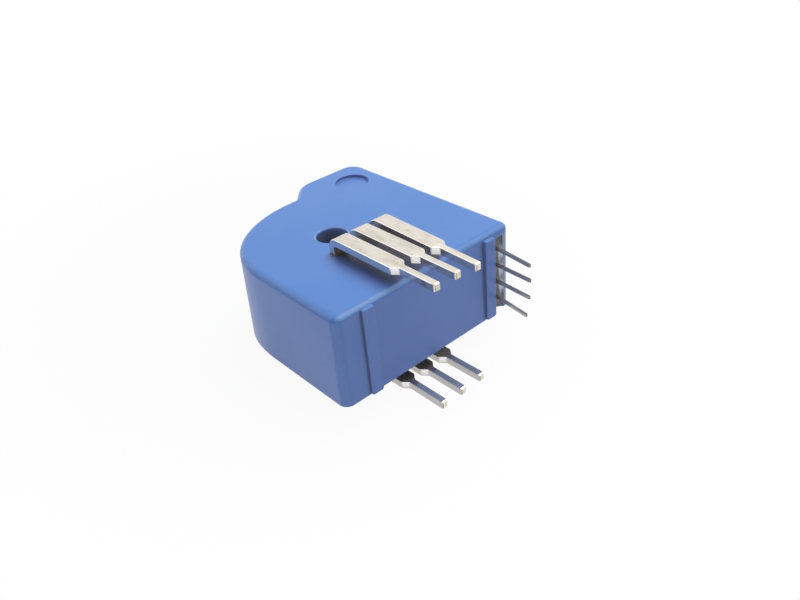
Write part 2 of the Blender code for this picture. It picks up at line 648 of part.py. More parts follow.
def main():
    for existing in list(bpy.data.objects):
        bpy.data.objects.remove(existing, do_unlink=True)

    blue = material("blue_case", (0.145, 0.310, 0.680), 0.45)
    tin = material("tinned_copper", (0.72, 0.69, 0.64), 0.28, 1.0)
    pin_metal = material("pin_metal", (0.30, 0.30, 0.33), 0.35, 1.0)
    resin_look = material("potting_resin", (0.30, 0.33, 0.30), 0.12)
    core_look = material("core_metal", (0.22, 0.22, 0.23), 0.45, 1.0)
    case_look = material("core_case", (0.80, 0.78, 0.70), 0.55)
    copper = material("winding_copper", (0.62, 0.26, 0.11), 0.35, 1.0)
    black = material("chip_black", (0.02, 0.02, 0.022), 0.5)
    board_look = material("board_laminate", (0.03, 0.16, 0.07), 0.4)
    resistor_look = material("resistor_ceramic", (0.06, 0.06, 0.07), 0.35)
    capacitor_look = material("capacitor_orange", (0.72, 0.36, 0.06), 0.4)

    pieces = [make_housing(blue), make_resin(resin_look)]
    for number, side in enumerate((-1, 0, 1), start=1):
        pieces.append(make_bar(number, side, BAR_LEAN[number - 1], tin))
    for number, (z, lean) in enumerate(zip(pin_heights(), PIN_LEAN), start=1):
        pieces.append(make_pin(number, z, lean, pin_metal))
    pieces.append(make_core(core_look))
    pieces.append(make_core_case("core_case_front", 1, case_look))
    pieces.append(make_core_case("core_case_back", -1, case_look))
    pieces.append(make_winding(copper))
    wire_holes = []
    for number, side in ((1, 1), (2, -1)):
        lead, hole = make_winding_lead(number, side, copper)
        pieces.append(lead)
        wire_holes.append(hole)
    pieces.append(make_hall_element(black))
    pieces.append(make_board(wire_holes, board_look))

    board_z = (BOARD_BACK + BOARD_FRONT) / 2
    amplifier_row = lead_row(AMPLIFIER_LEADS, AMPLIFIER_LEAD_PITCH)
    amplifier = make_package("amplifier_chip", AMPLIFIER_SIZE, (amplifier_row, amplifier_row),
                             AMPLIFIER_SPAN, black)
    pieces.append(stand_on_board(amplifier, BOARD_TOP_Y - AMPLIFIER_FROM_TOP, board_z, -1))
    transistor_rows = (lead_row(2, TRANSISTOR_LEAD_PITCH), lead_row(1, TRANSISTOR_LEAD_PITCH))
    for number, sign in ((1, -1), (2, 1)):
        transistor = make_package(f"output_transistor_{number}", TRANSISTOR_SIZE, transistor_rows,
                                  TRANSISTOR_SPAN, black)
        z = board_z + sign * TRANSISTOR_SPACING / 2
        pieces.append(stand_on_board(transistor, BOARD_TOP_Y - TRANSISTOR_FROM_TOP, z, -1))
    capacitor = make_chip_part("supply_capacitor", CAPACITOR_SIZE, capacitor_look)
    pieces.append(stand_on_board(capacitor, BOARD_BOTTOM_Y + CAPACITOR_FROM_BOTTOM, board_z, -1))
    for number in range(RESISTORS):
        resistor = make_chip_part(f"measuring_resistor_{number + 1}", RESISTOR_SIZE, resistor_look)
        y = BOARD_TOP_Y - RESISTOR_FROM_TOP - RESISTOR_SPACING * number
        pieces.append(stand_on_board(resistor, y, board_z, 1))

    frame = bpy.data.objects.new("frame", None)
    bpy.context.scene.collection.objects.link(frame)
    frame.location = (-LEFT_RIB_X, RIB_HEIGHT, -MIDDLE_Z)
    for thing in bpy.data.objects:
        if thing is not frame and thing.parent is None:
            thing.parent = frame


main()
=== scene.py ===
# %% [markdown]
# # A current sensor for a circuit board
# The blue case holds a ring of magnetic metal round three flat copper bars. This lesson dresses
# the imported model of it, piece by piece, and sets it on a white table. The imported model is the
# frame: each new piece takes its place from the node that it stands for.

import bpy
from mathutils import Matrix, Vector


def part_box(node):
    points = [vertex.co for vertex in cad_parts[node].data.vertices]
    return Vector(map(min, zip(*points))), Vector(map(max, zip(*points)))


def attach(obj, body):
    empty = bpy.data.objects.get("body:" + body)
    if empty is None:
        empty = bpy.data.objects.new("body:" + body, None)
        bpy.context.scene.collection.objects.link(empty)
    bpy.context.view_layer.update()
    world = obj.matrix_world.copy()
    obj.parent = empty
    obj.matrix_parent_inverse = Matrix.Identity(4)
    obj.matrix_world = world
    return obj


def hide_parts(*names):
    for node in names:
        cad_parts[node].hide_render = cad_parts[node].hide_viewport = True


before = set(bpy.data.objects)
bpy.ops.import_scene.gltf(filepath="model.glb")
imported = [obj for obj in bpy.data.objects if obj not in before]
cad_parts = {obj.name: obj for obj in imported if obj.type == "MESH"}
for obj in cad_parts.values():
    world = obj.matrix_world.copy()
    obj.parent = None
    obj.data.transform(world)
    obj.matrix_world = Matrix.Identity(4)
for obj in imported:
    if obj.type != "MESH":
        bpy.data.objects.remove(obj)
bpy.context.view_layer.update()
print("nodes in the frame:", len(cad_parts))

# %% Tools and the unit of length
from math import asin, atan2, cos, degrees, exp, hypot, pi, radians, sin, sqrt, tan

import bmesh
import bpy
import numpy as np
from mathutils import Matrix, Vector

MM = 0.001
scene = bpy.context.scene
case_low, case_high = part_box("housing")
print("case from", case_low / MM, "to", case_high / MM, "mm")

# %% [markdown]
# ## Camera
# The photograph was taken from close by, so the far bars look smaller than the near one. A lens
# and a place for it can be found by eye, or worked out from points whose real places are known.
# The second way was used here: the corners of the bars, the ribs and the case gave these numbers.

# %% Camera
EYE = Vector((-32.558, -43.947, 40.960)) * MM
LOOKING = Vector((0.53096843, 0.64556138, -0.548929))
PICTURE_UP = Vector((0.42245608, 0.35988594, 0.83187317))
LENS = 34.084
SENSOR_WIDTH = 36.0

camera_data = bpy.data.cameras.new("camera")
camera_data.lens = LENS
camera_data.sensor_width = SENSOR_WIDTH
camera_data.clip_start = 1 * MM
camera_data.clip_end = 10.0
camera = bpy.data.objects.new("camera", camera_data)
scene.collection.objects.link(camera)
picture_right = LOOKING.cross(PICTURE_UP)
axes = Matrix((picture_right, PICTURE_UP, -LOOKING)).transposed()
camera.matrix_world = Matrix.Translation(EYE) @ axes.to_4x4()
scene.camera = camera
case_middle = (case_low + case_high) / 2
print("camera", round((EYE - case_middle).length / MM), "mm from the middle of the case")

# %% [markdown]
# ## Writing materials as sums
# A material is a web of small nodes. Wired by hand it is hard to read, so a tiny class lets a
# socket be added or multiplied like a number, and each sum adds its Math node. Everything else,
# such as a noise or a mix of colours, comes from one method that takes the node's type, its
# settings and what goes into its sockets. A mask is a value that is 1 where something shows and 0
# elsewhere, so two masks multiplied keep what they share. The table and the room are written so too.

# %% A socket that can be calculated with
class Signal:
    """A changing value in a web of nodes. Sums on it add Math nodes."""

    def __init__(self, web, socket):
        self.web = web
        self.socket = socket

    def math(self, operation, *values):
        made = self.web.node("ShaderNodeMath", {"operation": operation}, dict(enumerate(values)))
        return made.out("Value")

    def __add__(self, other):
        return self.math("ADD", self, other)

    def __radd__(self, other):
        return self.math("ADD", other, self)

    def __sub__(self, other):
        return self.math("SUBTRACT", self, other)

    def __rsub__(self, other):
        return self.math("SUBTRACT", other, self)

    def __mul__(self, other):
        return self.math("MULTIPLY", self, other)

    def __rmul__(self, other):
        return self.math("MULTIPLY", other, self)

    def __abs__(self):
        return self.math("ABSOLUTE", self)

    def larger(self, other):
        return self.math("MAXIMUM", self, other)

    def cosine(self):
        return self.math("COSINE", self)

    def turn_from(self, other):
        """The angle, in radians, of a direction that goes this far sideways and other ahead."""
        return self.math("ARCTAN2", self, other)

    def above(self, low, high):
        """0 below low, 1 above high and a soft step between."""
        made = self.web.node("ShaderNodeMapRange", {"interpolation_type": "SMOOTHSTEP"},
                             {"Value": self, "From Min": low, "From Max": high})
        return made.out("Result")


print("sockets can be added, subtracted and multiplied")

# %% A web of nodes
class Made:
    """A node that has just been added, asked for its outputs by name or by place."""

    def __init__(self, web, node):
        self.web = web
        self.outputs = node.outputs

    def out(self, name):
        return Signal(self.web, self.outputs[name])


class Web:
    """The nodes of a material or of the room."""

    def __init__(self, tree):
        self.tree = tree

    def node(self, kind, settings=None, inputs=None):
        node = self.tree.nodes.new(kind)
        for name, value in (settings or {}).items():
            setattr(node, name, value)
        for socket, value in (inputs or {}).items():
            self.put(value, node.inputs[socket])
        return Made(self, node)

    def put(self, value, socket):
        if isinstance(value, Signal):
            self.tree.links.new(value.socket, socket)
        else:
            socket.default_value = value

    def blend(self, share, first, second):
        """Colour first where share is 0 and second where it is 1."""
        # A Mix node shows one of several sets of sockets. Its colours are inputs 6 and 7, output 2.
        made = self.node("ShaderNodeMix", {"data_type": "RGBA"}, {0: share, 6: first, 7: second})
        return made.out(2)


print("nodes can be added in one line each")

# %% The finish of a piece
class Finish(Web):
    """A material with one Principled shader, and the patterns that feed it."""

    def __init__(self, name, **constants):
        self.material = bpy.data.materials.new(name)
        self.material.use_nodes = True
        super().__init__(self.material.node_tree)
        self.shader = self.tree.nodes["Principled BSDF"]
        for socket, value in constants.items():
            self.feed(socket, value)
        place = self.node("ShaderNodeTexCoord")
        self.place = place.out("Object")
        self.facing = self.parts(place.out("Normal"))

    def feed(self, socket, value):
        self.put(value, self.shader.inputs[socket])

    def parts(self, vector):
        split = self.node("ShaderNodeSeparateXYZ", None, {"Vector": vector})
        return [split.out(axis) for axis in "XYZ"]

    def noise(self, size, detail=3.0, roughness=0.5, stretch=(1, 1, 1)):
        """A noise whose lumps are about size long, in metres, times the stretch on each axis."""
        scales = [1 / (size * part) for part in stretch]
        place = self.node("ShaderNodeVectorMath", {"operation": "MULTIPLY"},
                          {0: self.place, 1: scales}).out("Vector")
        made = self.node("ShaderNodeTexNoise", None, {
            "Vector": place, "Scale": 1.0, "Detail": detail, "Roughness": roughness})
        return made.out("Fac")

    def crevice(self, reach):
        """1 deep in a corner or close under another piece, 0 in the open."""
        open_share = self.node("ShaderNodeAmbientOcclusion", {"samples": 8},
                               {"Distance": reach}).out("AO")
        return 1 - open_share

    def bump(self, height, depth):
        """Relief whose full height is depth, in metres."""
        made = self.node("ShaderNodeBump", None, {"Height": height, "Distance": depth})
        self.feed("Normal", made.out("Normal"))


def colour(red, green, blue):
    return (red, green, blue, 1.0)


print("ready to write materials")

# %% [markdown]
# ## Moulded blue plastic
# The case is glass-filled polyester with a satin surface: the mould was eroded, so a fine grain
# covers every face. A grain could be displaced geometry, but at a hundredth of a millimetre a bump
# looks the same and costs nothing. The rest is a little wear and much painted light and shade. The
# front edge is pale from wear and from a painted highlight, and a painted highlight also lies on the
# ribs' edges, on the rim of the hole, on the rounding above the base, most at its left end, and on
# the base right of the notch. The walls are painted a pinker blue than the front, and the roundings
# a darker blue where they turn down to a wall, for how the light falls. Painted shade greys the wide
# hollows and darkens the corners, the face under the bars and the inside of the hole. It could be
# painted by hand, but masks made from where a point is and which way it faces follow the shape by
# themselves.

# %% Places on the case that the wear follows
bar_boxes = [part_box(f"primary_bar_{number}") for number in (1, 2, 3)]
BAR_X = [(low.x + high.x) / 2 for low, high in bar_boxes]
BAR_THICKNESS = 0.8 * MM
WEB_Y = bar_boxes[0][1].y - BAR_THICKNESS / 2
HOLE_ASIDE = 0.85 * MM
HOLE_ABOVE = 3.35 * MM
HOLE = Vector((BAR_X[1] - HOLE_ASIDE, WEB_Y + HOLE_ABOVE))
HOLE_RADIUS = 1.6 * MM
# How far from the hole's middle the rim's painted highlight and the inside's painted shade reach
HOLE_AND_RIM_REACH = (HOLE_RADIUS + 0.32 * MM, HOLE_RADIUS + 0.36 * MM)
# From how far down the hole painted shade greys it
HOLE_SHADE_DEPTHS = (case_high.z - 0.9 * MM, case_high.z - 0.3 * MM)
RIB_ZONE = (case_low.y + 0.70 * MM, case_low.y + 0.91 * MM)
# Where a painted highlight lies on the base and its corner right of the notch
NOTCH_HIGHLIGHT_X = (case_high.x - 0.86 * MM, case_high.x - 0.76 * MM)
NOTCH_HIGHLIGHT_Y = (1.2 * MM, 1.8 * MM)
NOTCH_HIGHLIGHT_Z = (3.9 * MM, 4.3 * MM)
LEFT_PART = (0.5 * MM, 9.0 * MM)


def case_places(finish):
    """Masks: near the board, the hole's rim, inside it, beside the notch and towards the left."""
    x, y, z = finish.parts(finish.place)
    flat_place = finish.node("ShaderNodeVectorMath", {"operation": "MULTIPLY"}, {
        0: finish.place, 1: (1, 1, 0)}).out("Vector")
    from_hole = finish.node("ShaderNodeVectorMath", {"operation": "DISTANCE"}, {
        0: flat_place, 1: (HOLE.x, HOLE.y, 0)}).out("Value")
    near_board = 1 - y.above(*RIB_ZONE)
    at_hole = 1 - from_hole.above(*HOLE_AND_RIM_REACH)
    in_hole = at_hole * (1 - z.above(*HOLE_SHADE_DEPTHS))
    # The base right of the notch, which takes a painted highlight
    beside_notch = x.above(*NOTCH_HIGHLIGHT_X) * (1 - y.above(*NOTCH_HIGHLIGHT_Y)) * (1 - z.above(*NOTCH_HIGHLIGHT_Z))
    leftward = 1 - x.above(*LEFT_PART)
    return near_board, at_hole, in_hole, beside_notch, leftward


print("hole at", HOLE / MM, "mm")

# %% Edges and dirt of the case
def case_edges(finish, near_board):
    """Masks: the front rim, the rounding above the base, all of its bend and the ribs' edges."""
    sideways, upward = abs(finish.facing[0]), abs(finish.facing[2])
    to_board = 1 - sideways.turn_from(0 - finish.facing[1]).above(0.15, 1.25)
    # These edges carry a painted highlight, and the front rim wear as well
    rim = upward.above(0.30, 0.60) * (1 - upward.above(0.93, 0.99)) * (1 - to_board)
    base_rim = upward.above(0.15, 0.60) * (1 - upward.above(0.74, 0.96)) * to_board
    # The rounding above the base, where painted light carries the front's blue further down
    base_bend = upward.above(0.10, 0.30) * (1 - upward.above(0.990, 0.9995)) * to_board
    rib_edge = sideways.above(0.25, 0.50) * (1 - sideways.above(0.90, 0.99)) * near_board
    return rim, base_rim, base_bend, rib_edge


def case_shade(finish, near_board):
    """Masks of painted shade: corners near the board, wide hollows and the darkest places, from how
    closed in a point is.
    """
    # Painted shade in corners near the board, as beside the ribs
    corner = finish.crevice(reach=0.9 * MM).above(0.06, 0.32) * near_board
    shade = finish.crevice(reach=4.0 * MM).above(0.08, 0.40)
    # Painted shade close under the bars and in small hollows, and further in deep places such as the
    # hole
    close_shade = finish.crevice(reach=1.9 * MM).above(0.22, 0.75)
    deep_shade = 0.6 * finish.crevice(reach=6.0 * MM).above(0.50, 0.90)
    dark_shade = close_shade.larger(deep_shade) * (1 - 0.30 * near_board)
    return corner, shade, dark_shade


print("ribs' finish reaches to y", round(RIB_ZONE[1] / MM, 2), "mm")

# %% Blue plastic
FRONT_BLUES = colour(0.104, 0.284, 0.750), colour(0.114, 0.299, 0.775)
# Painted light: the walls take a pinker blue than the front, for the warmer light on them
WALL_BLUES = colour(0.140, 0.276, 0.700), colour(0.152, 0.290, 0.725)
# Painted shade where a rounding turns down to a wall
BEND_SHADE_BLUE = colour(0.095, 0.225, 0.660)
SHADE_BLUE = colour(0.210, 0.275, 0.660)
# Painted shade in corners near the board
CORNER_SHADE_GREY = colour(0.195, 0.275, 0.480)
# Painted shade under the bars and in deep places
DARK_SHADE_GREY = colour(0.100, 0.092, 0.084)
# Painted shade inside the hole
HOLE_SHADE_GREY = colour(0.180, 0.225, 0.300)
# Painted highlight right of the notch
NOTCH_HIGHLIGHT = colour(0.34, 0.42, 0.66)
# Pale blues of wear and of a painted highlight on edges
WEAR_AND_HIGHLIGHT_BLUES = colour(0.22, 0.42, 0.88), colour(0.34, 0.56, 0.95)
GRAIN_DEPTH = 0.006 * MM


def blue_plastic():
    finish = Finish("moulded_blue_plastic", IOR=1.45)
    cloud = finish.noise(6.0 * MM, detail=2.0).above(0.3, 0.7)
    speck = finish.noise(0.20 * MM, detail=2.0, roughness=0.6)
    grain = finish.noise(0.08 * MM, detail=2.0, roughness=0.7)
    scuff = finish.noise(0.5 * MM, detail=4.0, roughness=0.7, stretch=(1.0, 4.0, 1.0))
    upward = abs(finish.facing[2])
    near_board, at_hole, in_hole, beside_notch, leftward = case_places(finish)
    rim, base_rim, base_bend, rib_edge = case_edges(finish, near_board)
    corner, shade, dark_shade = case_shade(finish, near_board)
    # Pale edges: wear and a painted highlight on the front rim, a painted highlight on the ribs'
    # edges, strongest at the hole's rim, and on the rounding above the base, most at its left end
    edges = rim.larger(0.6 * rib_edge) * (0.5 + 0.5 * scuff.above(0.40, 0.60) + 1.2 * at_hole)
    wear_and_highlight = edges.larger(base_rim * (1.7 + 0.6 * leftward))
    highlight_paleness = at_hole.larger(base_rim * (0.35 + 0.45 * leftward))

    front = finish.blend(cloud, *FRONT_BLUES)
    # The walls are painted a pinker blue than the front, for the warmer light on them
    walls = finish.blend(cloud, *WALL_BLUES)
    # Painted shade where a rounding turns down to a wall; painted light carries the front's blue
    # further down the rounding above the base
    bend_shaded = finish.blend(upward.above(0.05, 0.25), walls, BEND_SHADE_BLUE)
    blue = finish.blend((upward + 0.45 * base_bend).above(0.45, 0.85), bend_shaded, front)
    shaded = finish.blend(shade * 0.70, blue, SHADE_BLUE)
    # Painted shade greys the corners near the board
    corner_shaded = finish.blend(corner * 0.75, shaded, CORNER_SHADE_GREY)
    # Painted shade, darkest under the bars and in deep places
    dark_shaded = finish.blend(dark_shade, corner_shaded, DARK_SHADE_GREY)
    # Painted shade greys the inside of the hole
    hole_shaded = finish.blend(in_hole * 0.85, dark_shaded, HOLE_SHADE_GREY)
    # A painted highlight on the base right of the notch
    notch_highlighted = finish.blend(beside_notch * 0.90, hole_shaded, NOTCH_HIGHLIGHT)
    # The pale blue of wear and painted highlight, palest at the hole's rim and above the base
    wear_and_highlight_colour = finish.blend(highlight_paleness, *WEAR_AND_HIGHLIGHT_BLUES)
    finish.feed("Base Color", finish.blend(wear_and_highlight * 0.40, notch_highlighted, wear_and_highlight_colour))
    finish.feed("Roughness", 0.30 + 0.06 * speck + 0.06 * scuff.above(0.55, 0.75) - 0.08 * wear_and_highlight
                + 0.25 * base_bend)
    finish.bump(grain * 0.6 + speck * 0.4, GRAIN_DEPTH)
    return finish.material


BLUE = blue_plastic()
print("nodes in the blue plastic:", len(BLUE.node_tree.nodes))

# %% [markdown]
# ## Tin plate
# The bars are punched from tinned copper strip. The tin is bright and warm, with brownish smudges
# along the strip where it was rolled and handled. The punched sides are smooth, and duller on the
# legs under the case. Copper shines through at the edges of the struck tips. The edges are paled,
# partly by polish and partly as a painted highlight, and painted shade darkens the edges that face
# down and what the legs hide. The thin pins have a darker tin, from the same function with other
# colours. All of this is colour and gloss, because the relief is far too small to model.

# %% Values of the tin plate
TIP_Y = bar_boxes[0][0].y
COPPER_AT_TIP = (TIP_Y + 0.3 * MM, TIP_Y + 0.6 * MM)
UNDER_CASE = (case_low.z - 0.4 * MM, case_low.z)
COPPER = colour(0.50, 0.31, 0.14)
# Painted shade on edges that face down
UNDERSIDE_SHADE = colour(0.07, 0.065, 0.06)
# Painted shade where the strip is closed in, under the case and above it
CREVICE_SHADE = colour(0.200, 0.175, 0.150)
PALE_CREVICE_SHADE = colour(0.700, 0.640, 0.580)
STREAK_DEPTH = 0.0004 * MM
print("copper shows up to", round((COPPER_AT_TIP[1] - TIP_Y) / MM, 2), "mm from a tip")


# %% Tin plate, bright or dull
def tin_plate(name, bright, smudged, wear_and_highlight_colour, side, dull_side, roughness, metal):
    """Tin plate: bright with smudged patches, edges paled by polish and a painted highlight, painted
    shade on edges that face down and in crevices, and sides that are dull under the case.
    """
    finish = Finish(name)
    y, z = finish.parts(finish.place)[1:]
    sideways, upward = abs(finish.facing[0]), finish.facing[2]
    under_case = 1 - z.above(*UNDER_CASE)
    even = 1 - 0.85 * under_case
    streak = finish.noise(0.30 * MM, detail=2.0, stretch=(1.0, 24.0, 24.0))
    band = finish.noise(0.9 * MM, detail=2.0, roughness=0.6, stretch=(0.7, 2.2, 2.2))
    smudge = band.above(0.52, 0.76) * (0.60 + 0.40 * streak.above(0.35, 0.65)) * even
    breath = finish.noise(2.2 * MM, detail=2.0, stretch=(0.5, 1.2, 1.2)).above(0.42, 0.70)
    line = finish.noise(0.12 * MM, detail=2.0, stretch=(1.0, 30.0, 1.0)).above(0.50, 0.68)
    punched = sideways.above(0.80, 0.95)
    edge = sideways.above(0.25, 0.55) * (1 - punched)
    # Edges that face down, which take painted shade
    underneath = edge * (1 - upward.above(-0.30, 0.10))
    struck = edge * (1 - y.above(*COPPER_AT_TIP))
    # Where the strip is closed in, as where the legs meet the case; it takes painted shade
    hidden = finish.crevice(reach=1.2 * MM).above(0.15, 0.60)

    handled = finish.blend(breath * 0.35, bright, smudged)
    rolled = finish.blend(smudge * 0.85, handled, smudged)
    # Edges paled by polish and a painted highlight
    polished_and_highlit = finish.blend(edge, rolled, wear_and_highlight_colour)
    coppery = finish.blend(struck * 0.85, polished_and_highlit, COPPER)
    sides = finish.blend(line * 0.45, finish.blend(under_case, side, dull_side), smudged)
    sheared = finish.blend(punched, coppery, sides)
    # Painted shade darkens the edges that face down
    underside_shaded = finish.blend(underneath, sheared, UNDERSIDE_SHADE)
    # Painted shade in crevices, darker under the case
    crevice_shade = finish.blend(under_case, CREVICE_SHADE, PALE_CREVICE_SHADE)
    finish.feed("Base Color", finish.blend(hidden * 0.70, underside_shaded, crevice_shade))
    gloss = (roughness + 0.05 * streak * even + 0.10 * smudge) * (1 - 0.55 * punched)
    finish.feed("Roughness", gloss + 0.30 * hidden)
    finish.feed("Metallic", metal - 0.30 * hidden)
    finish.bump(streak * (1 - punched) * even, STREAK_DEPTH)
    return finish.material


# The colours below are linear values, as the shader takes them
BAR_TIN = tin_plate(
    "bright_tin_plate", bright=colour(0.77, 0.725, 0.655), smudged=colour(0.50, 0.43, 0.34),
    wear_and_highlight_colour=colour(0.97, 0.96, 0.94), side=colour(0.76, 0.73, 0.69),
    dull_side=colour(0.480, 0.465, 0.470), roughness=0.20, metal=0.90)
PIN_TIN = tin_plate(
    "dull_tin_plate", bright=colour(0.085, 0.088, 0.105), smudged=colour(0.07, 0.073, 0.08),
    wear_and_highlight_colour=colour(0.22, 0.22, 0.25), side=colour(0.56, 0.54, 0.55),
    dull_side=colour(0.56, 0.54, 0.55), roughness=0.42, metal=0.45)
print("tin plates:", BAR_TIN.name, PIN_TIN.name)

# %% [markdown]
# ## Potting resin
# The case is filled from the back with a dark grey casting resin. It set as a liquid does: flat in
# the middle, climbing a little up every wall that it touches, with a skin as smooth as glass. In
# the notch it is painted a little bluer, for the blue walls that it reflects, and right of the thin
# pins a painted highlight lies in between them. The pins stand at an even pitch, so a cosine along
# their row gives these places without a list.

# %% Potting resin
pin_boxes = [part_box(f"secondary_pin_{number}") for number in (1, 2, 3, 4)]
PIN_X = (pin_boxes[0][0].x + pin_boxes[0][1].x) / 2
PIN_PITCH = 1.905 * MM
NOTCH_RESIN_Y = (1.2 * MM, 1.6 * MM)
RIGHT_OF_PINS = (PIN_X + 0.31 * MM, PIN_X + 0.71 * MM)
PIN_ROW_END = (2.75 * MM, 3.05 * MM)
DARK_RESINS = colour(0.080, 0.094, 0.096), colour(0.108, 0.125, 0.128)
# Painted reflection: in the notch the resin is bluer for the blue walls it reflects
BLUISH_RESIN = colour(0.110, 0.140, 0.175)
# A painted highlight
RESIN_HIGHLIGHT = colour(0.86, 0.90, 1.00)
RESIN_SWELL = 0.03 * MM


def casting_resin():
    finish = Finish("cast_resin", IOR=1.52)
    cloud = finish.noise(1.6 * MM, detail=3.0)
    swell = finish.noise(2.4 * MM, detail=1.0)
    filler = finish.noise(0.07 * MM, detail=2.0)
    x, y, z = finish.parts(finish.place)
    in_notch = 1 - y.above(*NOTCH_RESIN_Y)
    # A painted highlight between the pins, right of their row
    between_pins = 0.70 + 0.50 * (z * (2 * pi / PIN_PITCH)).cosine()
    highlight_share = x.above(*RIGHT_OF_PINS) * between_pins * (1 - abs(z).above(*PIN_ROW_END))
    dark = finish.blend(cloud.above(0.3, 0.7), *DARK_RESINS)
    # Painted reflection of the blue walls in the notch
    bluish = finish.blend(in_notch * 0.8, dark, BLUISH_RESIN)
    finish.feed("Base Color", finish.blend(in_notch * highlight_share, bluish, RESIN_HIGHLIGHT))
    finish.feed("Roughness", 0.10 + 0.12 * cloud + 0.05 * filler)
    finish.bump(swell + 0.04 * filler, RESIN_SWELL)
    return finish.material


RESIN = casting_resin()
print("nodes in the resin:", len(RESIN.node_tree.nodes), "pins at x", round(PIN_X / MM, 3), "mm")

# %% [markdown]
# ## Outline of the case
# Seen from the front the case is a D with a block on one side: a straight base, a round end over
# the magnetic ring, a slanting flank and the square block of the electronics. It could be traced,
# but it is only lines and arcs, so it is worked out: every corner is an arc between two sides.
# Nothing moulded is quite true: the round end is fuller than a circle where it meets the left wall,
# and the base stands out a little in front and behind. Both are small sums on top of plain lines.

# %% Sizes of the case
RIB_HEIGHT = 0.5 * MM
BASE_Y = case_low.y + RIB_HEIGHT
ARC_RADIUS = 10.9 * MM
BLOCK_RISE = 2.65 * MM
ARC_CENTRE = Vector((case_low.x + ARC_RADIUS, case_high.y - BLOCK_RISE - ARC_RADIUS))
FLANK_START = radians(6)
FLANK_SLOPE = radians(48)
FLANK_FOOT_RADIUS = 1.2 * MM
FLANK_HEAD_RADIUS = 3.0 * MM
BLOCK_CORNER_RADIUS = 1.92 * MM
BASE_LEFT_RADIUS = 1.0 * MM
BASE_RIGHT_RADIUS = 0.78 * MM
LEAST_RADIUS = 0.05 * MM
CORNER_STEPS = 10
ARC_STEPS = 90

# How far the moulding stands out of its plain lines and arcs
BASE_OUT_BEHIND = 0.17 * MM
BASE_OUT_FRONT_LEFT = 0.29 * MM
BASE_OUT_FRONT_RIGHT = 0.12 * MM
FULL_FROM = radians(105)
FULLNESS = 0.25 * MM
MORE_FULLNESS_BEHIND = 0.24 * MM
print("centre of the round end", ARC_CENTRE / MM, "mm")


# %% Arc round a corner
def corner_arc(before, corner, after, radius):
    """Points of the arc that rounds a corner between two straight sides."""
    to_before = (before - corner).normalized()
    to_after = (after - corner).normalized()
    half = to_before.angle(to_after) / 2
    centre = corner + (to_before + to_after).normalized() * (radius / sin(half))
    start = corner + to_before * (radius / tan(half)) - centre
    turn = pi - 2 * half
    if to_before.cross(to_after) > 0:
        turn = -turn
    return [centre + Matrix.Rotation(turn * step / CORNER_STEPS, 2) @ start
            for step in range(CORNER_STEPS + 1)]


print("points on a corner:", CORNER_STEPS + 1)

# %% Round end and flank
def fuller(angle, depth):
    """How far the round end stands out of its circle, most where it turns into the left wall."""
    share = max(angle - FULL_FROM, 0) / (pi - FULL_FROM)
    return (FULLNESS + MORE_FULLNESS_BEHIND * depth) * sin(pi * share) ** 2


def flank_foot(inset, radius):
    """Where the flank meets the round end, and the direction from there up the flank."""
    up_flank = Vector((cos(FLANK_SLOPE), sin(FLANK_SLOPE)))
    start = ARC_CENTRE + ARC_RADIUS * Vector((sin(FLANK_START), cos(FLANK_START)))
    start += inset * Vector((sin(FLANK_SLOPE), -cos(FLANK_SLOPE)))
    offset = start - ARC_CENTRE
    along = offset.dot(up_flank)
    foot = start + up_flank * (sqrt(along ** 2 - offset.length_squared + radius ** 2) - along)
    return foot, up_flank


print("the flank starts at", flank_foot(0.0, ARC_RADIUS)[0] / MM, "mm")

# %% Outline, moved inwards by an inset
def case_outline(inset=0.0, right_inset=None, depth=0.0):
    """The case's outline from the base's left corner on; depth is 0 in front and 1 at the back."""
    left, right = case_low.x + inset, case_high.x - (inset if right_inset is None else right_inset)
    base, top = BASE_Y + inset - BASE_OUT_BEHIND * depth, case_high.y - inset
    radius = ARC_RADIUS - inset
    foot, up_flank = flank_foot(inset, radius)
    head = foot + up_flank * ((top - foot.y) / up_flank.y)
    spoke = foot - ARC_CENTRE
    tangent = Vector((-spoke.y, spoke.x))
    foot_arc = corner_arc(head, foot, foot + tangent, FLANK_FOOT_RADIUS + inset)
    first = foot_arc[-1] - ARC_CENTRE
    first_angle = atan2(first.y, first.x)

    base_left = Vector((left, base - BASE_OUT_FRONT_LEFT * (1 - depth)))
    base_right = Vector((right, base - BASE_OUT_FRONT_RIGHT * (1 - depth)))
    block_corner = Vector((right, top))
    arc_end = Vector((left, ARC_CENTRE.y))
    points = []
    for before, corner, after, rounding in (
            (arc_end, base_left, base_right, BASE_LEFT_RADIUS),
            (base_left, base_right, block_corner, BASE_RIGHT_RADIUS),
            (base_right, block_corner, head, BLOCK_CORNER_RADIUS),
            (block_corner, head, foot, FLANK_HEAD_RADIUS)):
        points += corner_arc(before, corner, after, max(rounding - inset, LEAST_RADIUS))
    points += foot_arc
    for step in range(1, ARC_STEPS + 1):
        angle = first_angle + (pi - first_angle) * step / ARC_STEPS
        outwards = Vector((cos(angle), sin(angle)))
        points.append(ARC_CENTRE + (radius + fuller(angle, depth)) * outwards)
    return points


print("outline points:", len(case_outline()))

# %% [markdown]
# ## Solids from rings
# Most pieces here are skins over a row of rings: the case over copies of its outline, a bar over
# copies of its section. One helper does it, another makes the object, a third cuts or joins, and
# the last settles the shading. Flat faces that meet a rounding need normals weighted by area, or
# the rounding's shade would creep over the whole face.

# %% Skins and objects
def to_object(name, mesh_edit, look):
    """An object in the scene from an edited mesh, with its faces turned outwards."""
    bmesh.ops.recalc_face_normals(mesh_edit, faces=mesh_edit.faces)
    mesh = bpy.data.meshes.new(name)
    mesh_edit.to_mesh(mesh)
    mesh_edit.free()
    mesh.materials.append(look)
    made = bpy.data.objects.new(name, mesh)
    scene.collection.objects.link(made)
    return made


